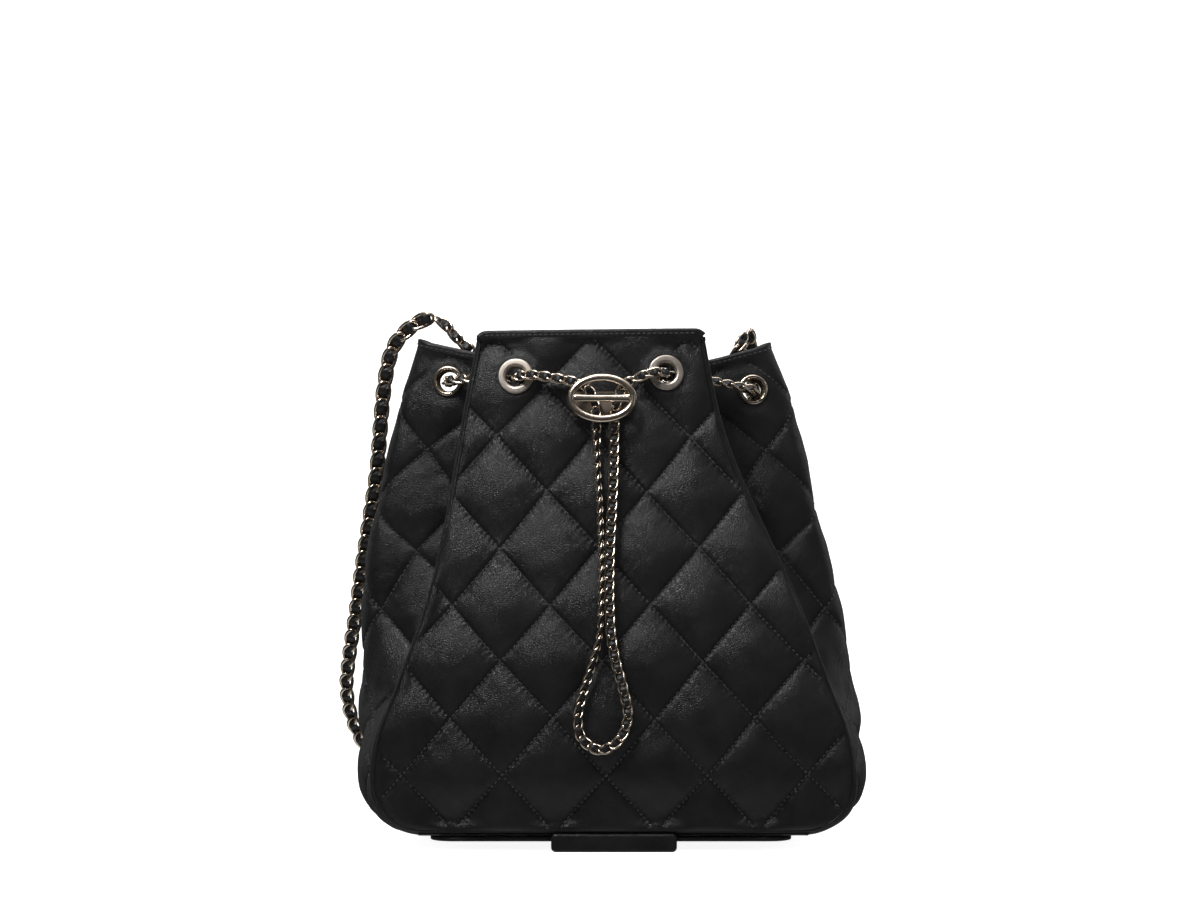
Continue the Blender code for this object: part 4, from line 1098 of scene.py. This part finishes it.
def make_pockets():
    middle = float(lean(PANEL_LEAN, ZIP_Z))
    # welt: a frame of leather round the zip
    parts = Parts()
    outer = rounded([(-58, -9), (58, -9), (58, 9), (-58, 9)], 3.0, 6)
    inner = rounded([(-ZIP_HALF, -4), (ZIP_HALF, -4), (ZIP_HALF, 4), (-ZIP_HALF, 4)], 1.5, 6)
    rings = []
    for outline, shift, y in ((inner, 0, ZIP_Y + 1.1), (inner, 0, ZIP_Y + 0.4), (inner, 0.5, ZIP_Y),
                              (outer, -0.6, ZIP_Y), (outer, 0, ZIP_Y + 0.5), (outer, 0, ZIP_Y + 1.2)):
        grown = outline * (1 + shift / np.linalg.norm(outline, axis=1, keepdims=True))
        rings.append(np.stack((grown[:, 0] + middle, np.full(len(grown), y), grown[:, 1] + ZIP_Z), -1))
    parts.add(np.concatenate(rings), grid_faces(6, len(outer), ring=True))
    welt = parts.make("zip_welt_leather", [PLAIN], "plain_leather", replaces=["zip_welt"])
    thread = Parts()
    loop = rounded([(-56, -7), (56, -7), (56, 7), (-56, 7)], 2.0, 5)
    line = np.stack((loop[:, 0] + middle, np.full(len(loop), ZIP_Y - 0.02), loop[:, 1] + ZIP_Z), -1)
    line = resampled(np.concatenate((line, line[:1])), 1.0)
    add_stitches(thread, line, np.tile((0.0, -1.0, 0.0), (len(line), 1)))
    thread.make("zip_welt_stitching", THREAD, "lining_textile")
    # tape and teeth
    slab("zip_tape_cloth", (middle - 56, middle + 56), (ZIP_Y + 1.5, ZIP_Y + 2.1),
         (ZIP_Z - 7, ZIP_Z + 7), 1.0, 0.1, TAPE, "zip_tape", ["zip_tape"])
    teeth = Parts()
    for i, x in enumerate(np.arange(middle - ZIP_HALF + 2, middle + ZIP_HALF - 2, 1.15)):
        up = 0.45 if i % 2 else -0.45
        section = rounded([(-0.42, -0.9), (0.42, -0.9), (0.42, 0.9), (-0.42, 0.9)], 0.2, 2)
        low = np.stack((section[:, 0] + x, np.full(len(section), ZIP_Y + 1.15),
                        section[:, 1] + ZIP_Z + up), -1)
        high = low - np.array((0, 0.85, 0))
        n = len(section)
        teeth.add(np.concatenate((low, high)), grid_faces(2, n, ring=True)
                  + [tuple(range(n)), tuple(range(n, 2 * n))[::-1]])
    teeth.make("zip_teeth_metal", [GOLD], "polished_gold", replaces=["zip_teeth"])
    x = middle + ZIP_PARK
    slab("zip_slider_metal", (x - 4, x + 4), (ZIP_Y - 1.7, ZIP_Y - 0.3), (ZIP_Z - 3, ZIP_Z + 3), 1.6,
         0.5, GOLD, "polished_gold", ["zip_slider"], "zip_slider_body")
    slab("zip_pull_metal", (x - 2.5, x + 2.5), (ZIP_Y - 3.6, ZIP_Y - 2.5), (ZIP_Z - 20, ZIP_Z + 2), 2.2,
         0.35, GOLD, "polished_gold", ["zip_pull"], "zip_pull_body")
    # slip pocket on the front lining
    z = np.linspace(62, 150, 60)[:, None]
    u = np.linspace(-54, 54, 70)[None]
    xs = lean(PANEL_LEAN, z) + u
    zs = z + 0 * xs
    base, normals = panel_point(xs, zs, -1)
    inset = LINING_INSET + LINING + 2.7 - 0.25 * waves(base, 18.0, 5)
    front = base - normals * inset[..., None]
    back = front + normals * 0.8
    shape = front.shape[:2]
    n = shape[0] * shape[1]
    faces = grid_faces(*shape) + grid_faces(*shape, start=n, flip=True)
    border = ([(0, j) for j in range(shape[1])] + [(i, shape[1] - 1) for i in range(1, shape[0])]
              + [(shape[0] - 1, j) for j in range(shape[1] - 2, -1, -1)]
              + [(i, 0) for i in range(shape[0] - 2, 0, -1)])
    index = [i * shape[1] + j for i, j in border]
    faces += [(a, b, b + n, a + n) for a, b in zip(index, index[1:] + index[:1])]
    pocket = make_object("slip_pocket_cloth", np.concatenate((front.reshape(-1, 3), back.reshape(-1, 3))),
                         faces, TEXTILE, "lining_textile", replaces=["slip_pocket"])
    pocket.data.update()
    hem = Parts()
    for row in (-4, -2):
        add_stitches(hem, front[row, 2:-2], -normals[row, 2:-2])
    for column in (2, -3):
        add_stitches(hem, front[2:-4, column], -normals[2:-4, column])
    hem.make("slip_pocket_stitching", THREAD, "lining_textile")
    return welt


# --- Metalwork ----------------------------------------------------------------------------


def shade_barrel(parts, matrix):
    """A darkened sleeve inside an eyelet's barrel: painted shade in the hole."""
    lathe(parts, rounded([(5.0, -4.0), (5.65, -4.0), (5.65, -0.45), (5.4, -0.45)], 0.1, 2), 48,
          matrix, 1)


def make_eyelets():
    for name, side, point, normal, flange in PLACES:
        matrix = frame_at(point, normal)
        parts = Parts()
        if flange > 8:
            ring = [(5.2, -3.8), (6.1, -3.8), (6.1, -0.2), (flange, -0.2), (flange, 0.55),
                    (flange - 0.45, 0.95), (6.4, 1.05), (5.5, 0.75), (5.2, 0.1)]
            lathe(parts, rounded(ring, 0.32, 4), 72, matrix)
            shade_barrel(parts, matrix)
            parts.make(f"{name}_ring", [SATIN, BARREL], "satin_gold", replaces=[name])
        else:
            rise = [(6.75 + 1.0 * math.cos(a), 0.15 + 0.95 * math.sin(a))
                    for a in np.linspace(0, math.pi, 13)]
            ring = [(5.55, -3.8), (5.95, -3.8), (6.0, -0.2), (7.7, -0.2)] + rise[:-1] + [(5.6, -0.3)]
            lathe(parts, rounded(ring, 0.12, 2), 64, matrix)
            shade_barrel(parts, matrix)
            parts.make(f"{name}_ring", [GOLD, BARREL], "polished_gold", replaces=[name])
        washer = Parts()
        lathe(washer, rounded([(6.2, -3.5), (7.55, -3.5), (7.55, -2.85), (6.2, -2.85)], 0.22, 3), 48,
              matrix)
        washer.make(f"{name}_inside_washer", [SATIN], "satin_gold", replaces=[f"{name}_washer"])


SLOPE = np.array((0, -0.1804, -0.9836))
OUT = np.array((0, -0.9836, 0.1804))
DRAWCORD, STRAP, STRAND_LIFT, LOOP_LIFT = 5.7, 8.6, 4.5, 3.3
SLIDER_CENTRE = (-4.0, 225.5)


def strand_point(x, z, lift):
    point, normal = panel_point(x, z, -1)
    return point + normal * lift


def mouth_route():
    half = {}
    reach = 4.5
    for side_name, side in (("left", -1), ("right", 1)):
        spots = {name: (point, normal) for name, _, point, normal, _ in PLACES
                 if name.endswith(side_name)}
        route = []
        for end in ("front", "back"):
            leg = []
            for part, sign in (("", 1), ("_fold", -1), ("_wing", 1)):
                point, normal = spots[f"{end}{part}_eyelet_{side_name}"]
                middle = point - normal * 1.5
                leg += [middle + normal * reach * sign, middle, middle - normal * reach * sign]
            leg[0] = leg[0] + np.array((-side * 1.0, 0, -0.3))
            route += leg if end == "front" else list(reversed(leg))
        half[side] = route
    start = [strand_point(-17.6, 234.8, STRAND_LIFT), strand_point(-26.0, 236.4, STRAND_LIFT),
             strand_point(-37.5, 238.2, STRAND_LIFT)]
    finish = [strand_point(20.5, 239.4, STRAND_LIFT), strand_point(12.2, 236.2, STRAND_LIFT)]
    back = [panel_point(x, z, 1)[0] + panel_point(x, z, 1)[1] * STRAND_LIFT
            for x, z in ((-37, 238.8), (-25, 237.4), (-8, 236.6), (6, 237.4), (18, 239.6))]
    return start + half[-1] + back + list(reversed(half[1])) + finish


def pull_route():
    left = ((-16.2, 234.4), (-12.6, 232.9), (-9.4, 228.6), (-7.4, 222), (-6.8, 213), (-6.6, 200),
            (-5.9, 186), (-5.0, 170), (-4.5, 154), (-4.3, 138), (-4.6, 122), (-5.3, 108),
            (-8.6, 95), (-12.8, 82), (-15.8, 70), (-14.2, 58.5), (-5.2, 52.4))
    right = ((4.6, 57.5), (8.8, 69), (6.6, 82), (3.0, 95), (0.6, 108), (-0.2, 122), (-0.3, 138),
             (0.1, 154), (1.0, 170), (1.7, 186), (2.0, 200), (2.2, 213), (2.9, 222), (5.0, 229),
             (7.4, 233.6), (10.9, 235.5))
    return [strand_point(x, z, LOOP_LIFT + (STRAND_LIFT - LOOP_LIFT) * float(smooth(95, 130, z)))
            for x, z in left + right]


def laced_chain(name, path_points, frames, pitch, width, wire, lace, weave, body, replaces,
                around=20, section=8):
    """A curb chain with a leather lace woven through it, in one mesh."""
    parts = Parts()
    tangents, sides, faces = frames
    steps = np.linalg.norm(np.diff(path_points, axis=0), axis=1)
    along = np.concatenate(([0], np.cumsum(steps)))
    total = along[-1]
    count = max(1, round(total / pitch))
    real = total / count

    def at(values, where):
        return np.stack([np.interp(where, along, values[:, k]) for k in range(3)], -1)

    half_long = real / 2 + wire * 2.1
    half_wide = width / 2 - wire
    phi = np.linspace(0, 2 * np.pi, around, endpoint=False)
    local_t = half_long * np.cos(phi)
    local_s = half_wide * np.sin(phi)
    local_f = wire * 1.45 * np.sin(2 * phi)
    for i in range(count):
        middle = (i + 0.5) * real
        s = middle + local_t
        inside = np.clip(s, 0.02, total - 0.02)
        spot, t, side, face = (at(v, inside) for v in (path_points, tangents, sides, faces))
        ring = spot + t * (s - inside)[:, None] + side * local_s[:, None] + face * local_f[:, None]
        direction = np.roll(ring, -1, axis=0) - np.roll(ring, 1, axis=0)
        direction /= np.linalg.norm(direction, axis=1, keepdims=True)
        other = np.cross(direction, face)
        other /= np.linalg.norm(other, axis=1, keepdims=True)
        third = np.cross(direction, other)
        verts = []
        for a in np.linspace(0, 2 * np.pi, section, endpoint=False):
            verts.append(ring + wire * (other * math.cos(a) + third * math.sin(a)))
        verts = np.stack(verts, 1).reshape(-1, 3)
        quads = []
        for j in range(around):
            k = (j + 1) % around
            for a in range(section):
                b = (a + 1) % section
                quads.append((j * section + a, k * section + a, k * section + b, j * section + b))
        parts.add(verts, quads, 0)
    samples = np.linspace(0, total, count * 10 + 1)
    phase = 2 * np.pi * (samples / real)
    spot, t, side, face = (at(v, samples) for v in (path_points, tangents, sides, faces))
    lifted = spot + face * (weave * np.sin(phase))[:, None]
    pinch = 1 - 0.16 * np.cos(phase) ** 2 * (np.cos(phase) > 0)
    outline = rounded_section(lace[0], lace[1], 12, 3.4)
    t2, s2, f2 = frames_towards(lifted, face)
    verts = (lifted[:, None] + s2[:, None] * outline[None, :, :1] * pinch[:, None, None]
             + f2[:, None] * outline[None, :, 1:]).reshape(-1, 3)
    rows, columns = len(lifted), len(outline)
    quads = grid_faces(rows, columns, ring=True)
    quads += [tuple(range(columns))[::-1], tuple(range((rows - 1) * columns, rows * columns))]
    parts.add(verts, quads, 1)
    return parts.make(name, [GOLD, LACE], "laced_chain", body=body, replaces=replaces), total


STRAP_ROUTE = (
    (-93.0, 3.8, 269.6), (-97.5, 4.3, 268.2), (-102.5, 5.2, 265.3), (-108.0, 7.0, 260.6),
    (-112.6, 9.6, 254.0), (-115.6, 12.4, 244.5), (-118.0, 16, 230), (-119.8, 20, 212),
    (-122.0, 26, 190), (-126.0, 33, 166), (-130.5, 42, 141), (-134.8, 53, 115),
    (-139.0, 65, 92), (-141.2, 76, 72), (-137.5, 86, 52), (-127.0, 95, 33), (-109.0, 103, 17),
    (-84.0, 110, 7.5), (-52.0, 114, 4.6), (-18.0, 112, 4.6), (15.0, 106, 5.4), (43.0, 99, 13),
    (64.0, 93, 31), (76.5, 87, 58), (82.5, 80, 92), (84.0, 71, 130), (82.0, 62, 168),
    (78.5, 52, 204), (75.5, 40, 232), (74.3, 29, 249), (73.2, 20, 257.2), (72.4, 14.5, 260.4),
    (71.8, 9.6, 261.1))
ROOTS = {"left": ((-71.5, 0.2, 253.0), (-75.5, 0.2, 256.0), (-80.0, 0.9, 260.5),
                  (-84.3, 2.4, 265.6), (-88.9, 3.4, 268.9)),
         "right": ((63.0, -0.2, 246.5), (65.5, -0.2, 251.0), (67.8, 0.7, 256.4), (70.2, 4.4, 260.0))}
RING_SPOTS = {"left": (-65.6, 0.6, 246.0), "right": (57.6, 0.6, 241.4)}


def make_chains():
    path = smoothed_route(STRAP_ROUTE, 1.5)
    frames = frames_along(path, (0.25, -1, 0.1), ((0, 0), (0.1, 25), (0.3, -5), (0.5, 60), (0.75, 70),
                                                  (1, 0)))
    strap, length = laced_chain("shoulder_chain", path, frames, 9.4, STRAP - 0.2, 0.92, (5.2, 1.5), 1.45,
                                "strap", ["strap_chain"])

    path = smoothed_route(pull_route(), 1.2)
    fraction = ((0, 0), (0.04, 0), (0.10, 68), (0.33, 76), (0.40, 40), (0.5, 10), (0.62, 0), (1, 0))
    targets = np.array([panel_point(p[0], p[2], -1)[1] for p in path])
    t, s, f = frames_towards(path, targets)
    angle = np.radians(np.interp(np.linspace(0, 1, len(path)), *zip(*fraction)))[:, None]
    frames = (t, s * np.cos(angle) - f * np.sin(angle), f * np.cos(angle) + s * np.sin(angle))
    pull, length = laced_chain("pull_chain", path, frames, 5.8, DRAWCORD - 0.1, 0.60, (3.3, 1.0), 0.95,
                               "pull_loop", ["drawstring_pull"], section=7)

    path = smoothed_route(mouth_route(), 1.2)
    sideways = smooth(44, 56, np.abs(path[:, 0]))
    targets = np.stack((np.sign(path[:, 0]) * sideways, np.sign(path[:, 1]) * (1 - sideways),
                        np.full(len(path), 0.35)), -1)
    frames = frames_towards(path, targets)
    laced_chain("mouth_chain", path, frames, 6.6, DRAWCORD - 0.1, 0.64, (3.5, 1.1), 1.0, BODY,
                ["drawstring_mouth"], section=7)
    for name, route in ROOTS.items():
        path = smoothed_route(route, 1.0)
        frames = frames_along(path, (0.2, -1, 0.2))
        laced_chain(f"strap_root_{name}_chain", path, frames, 8.4, 6.2, 0.80, (3.9, 1.4), 0.9, BODY,
                    [f"strap_root_{name}"])


def make_rings():
    for name, spot in RING_SPOTS.items():
        a = np.linspace(0, 2 * np.pi, 49)[:-1]
        b = np.linspace(0, 2 * np.pi, 13)[:-1]
        arm = np.stack((np.cos(a), 0 * a, np.sin(a)), -1)
        verts = (np.array(spot) + arm[:, None] * (5.0 + 1.0 * np.cos(b))[None, :, None]
                 + np.array((0, 1.0, 0)) * np.sin(b)[None, :, None]).reshape(-1, 3)
        faces = []
        for i in range(48):
            for k in range(12):
                m, n = (i + 1) % 48, (k + 1) % 12
                faces.append((i * 12 + k, i * 12 + n, m * 12 + n, m * 12 + k))
        make_object(f"strap_ring_{name}_metal", verts, faces, GOLD, "polished_gold",
                    replaces=[f"strap_ring_{name}"])
        x, y, z = spot
        low = z - 6.3
        slab(f"strap_tab_{name}_leather", (x - 4.5, x + 4.5), (y - 1.2, y + 1.2), (low - 16, low), 1.5,
             0.7, PLAIN, "plain_leather", [f"strap_tab_{name}"])
        thread = Parts()
        for face in (-1, 1):
            for dx in (-3.2, 3.2):
                line = np.array([(x + dx, y + face * 1.2, low - 1 - k) for k in range(15)], float)
                add_stitches(thread, line, np.tile((0.0, float(face), 0.0), (15, 1)), lift=0.05)
        thread.make(f"strap_tab_{name}_stitching", THREAD, "plain_leather")


def make_slider():
    """Oval buckle in front of the strands, with a bar across, on a plate with two rivets."""
    x, z = SLIDER_CENTRE
    centre = strand_point(x, z, STRAND_LIFT)
    matrix = Matrix.Translation(Vector(centre)) @ Matrix(
        (Vector((1, 0, 0)), -Vector(SLOPE), Vector(OUT))).transposed().to_4x4()
    m = np.array(matrix)
    level = DRAWCORD / 2 + 0.3 + 1.9
    parts = Parts()
    around = 96
    a = np.linspace(0, 2 * np.pi, around, endpoint=False)
    middle = np.stack((15.6 * np.cos(a), 10.6 * np.sin(a), 0 * a + level), -1)
    normal = np.stack((10.6 * np.cos(a), 15.6 * np.sin(a), 0 * a), -1)
    normal /= np.linalg.norm(normal, axis=1, keepdims=True)
    section = rounded_section(3.8, 3.6, 20, 2.3)
    verts = (middle[:, None] + normal[:, None] * section[None, :, :1]
             + np.array((0, 0, 1.0)) * section[None, :, 1:]).reshape(-1, 3)
    faces = []
    for i in range(around):
        for k in range(20):
            j, n = (i + 1) % around, (k + 1) % 20
            faces.append((i * 20 + k, j * 20 + k, j * 20 + n, i * 20 + n))
    parts.add(verts @ m[:3, :3].T + m[:3, 3], faces)
    bar = np.stack((np.linspace(-14.4, 14.4, 25), np.zeros(25), np.full(25, level)), -1)
    swell = 1.0 + 0.30 * np.abs(bar[:, 0] / 14.4) ** 3
    v, f = sweep(bar, rounded_section(3.4, 2.4, 16, 2.6), up=(0, 0, 1), scale=swell)
    parts.add(v @ m[:3, :3].T + m[:3, 3], f)
    parts.make("buckle_oval", [GOLD], "polished_gold", body="slider", replaces=["slider_frame"])

    # The plate takes the barrel's dark copy of the gold: painted shade behind the buckle.
    plate = slab("buckle_plate", (-15, 15), (-7.5, 5.0), (-4.15, -3.15), 3.0, 0.3, BARREL, "polished_gold",
                 ["slider_plate"], "slider")
    plate.data.transform(Matrix.Scale(MM, 4) @ matrix @ Matrix.Scale(1 / MM, 4))
    back = -3.15
    for name, side in (("slider_rivet_left", -1), ("slider_rivet_right", 1)):
        spot = matrix @ Matrix.Translation((side * 13.2, -4.5, 0))
        rivet = Parts()
        top = level - 1.9 - 0.1
        lathe(rivet, rounded([(0.02, back + 0.3), (1.3, back + 0.3), (1.3, top - 0.2), (1.0, top),
                              (0.02, top)], 0.1, 2), 24, spot)
        rivet.make(f"{name}_pin", [GOLD], "polished_gold", body="slider", replaces=[name])


# --- Build --------------------------------------------------------------------------------

studio()
make_chains()
make_panel("front_panel", -1, 0.9, 21)
make_panel("back_panel", 1, 1.5, 51)
make_gusset("gusset_left", -1, 1.35, 61)
make_gusset("gusset_right", 1, 1.35, 71)
make_pipings()
make_bindings()
make_base()
make_lining()
make_pockets()
make_eyelets()
make_rings()
make_slider()
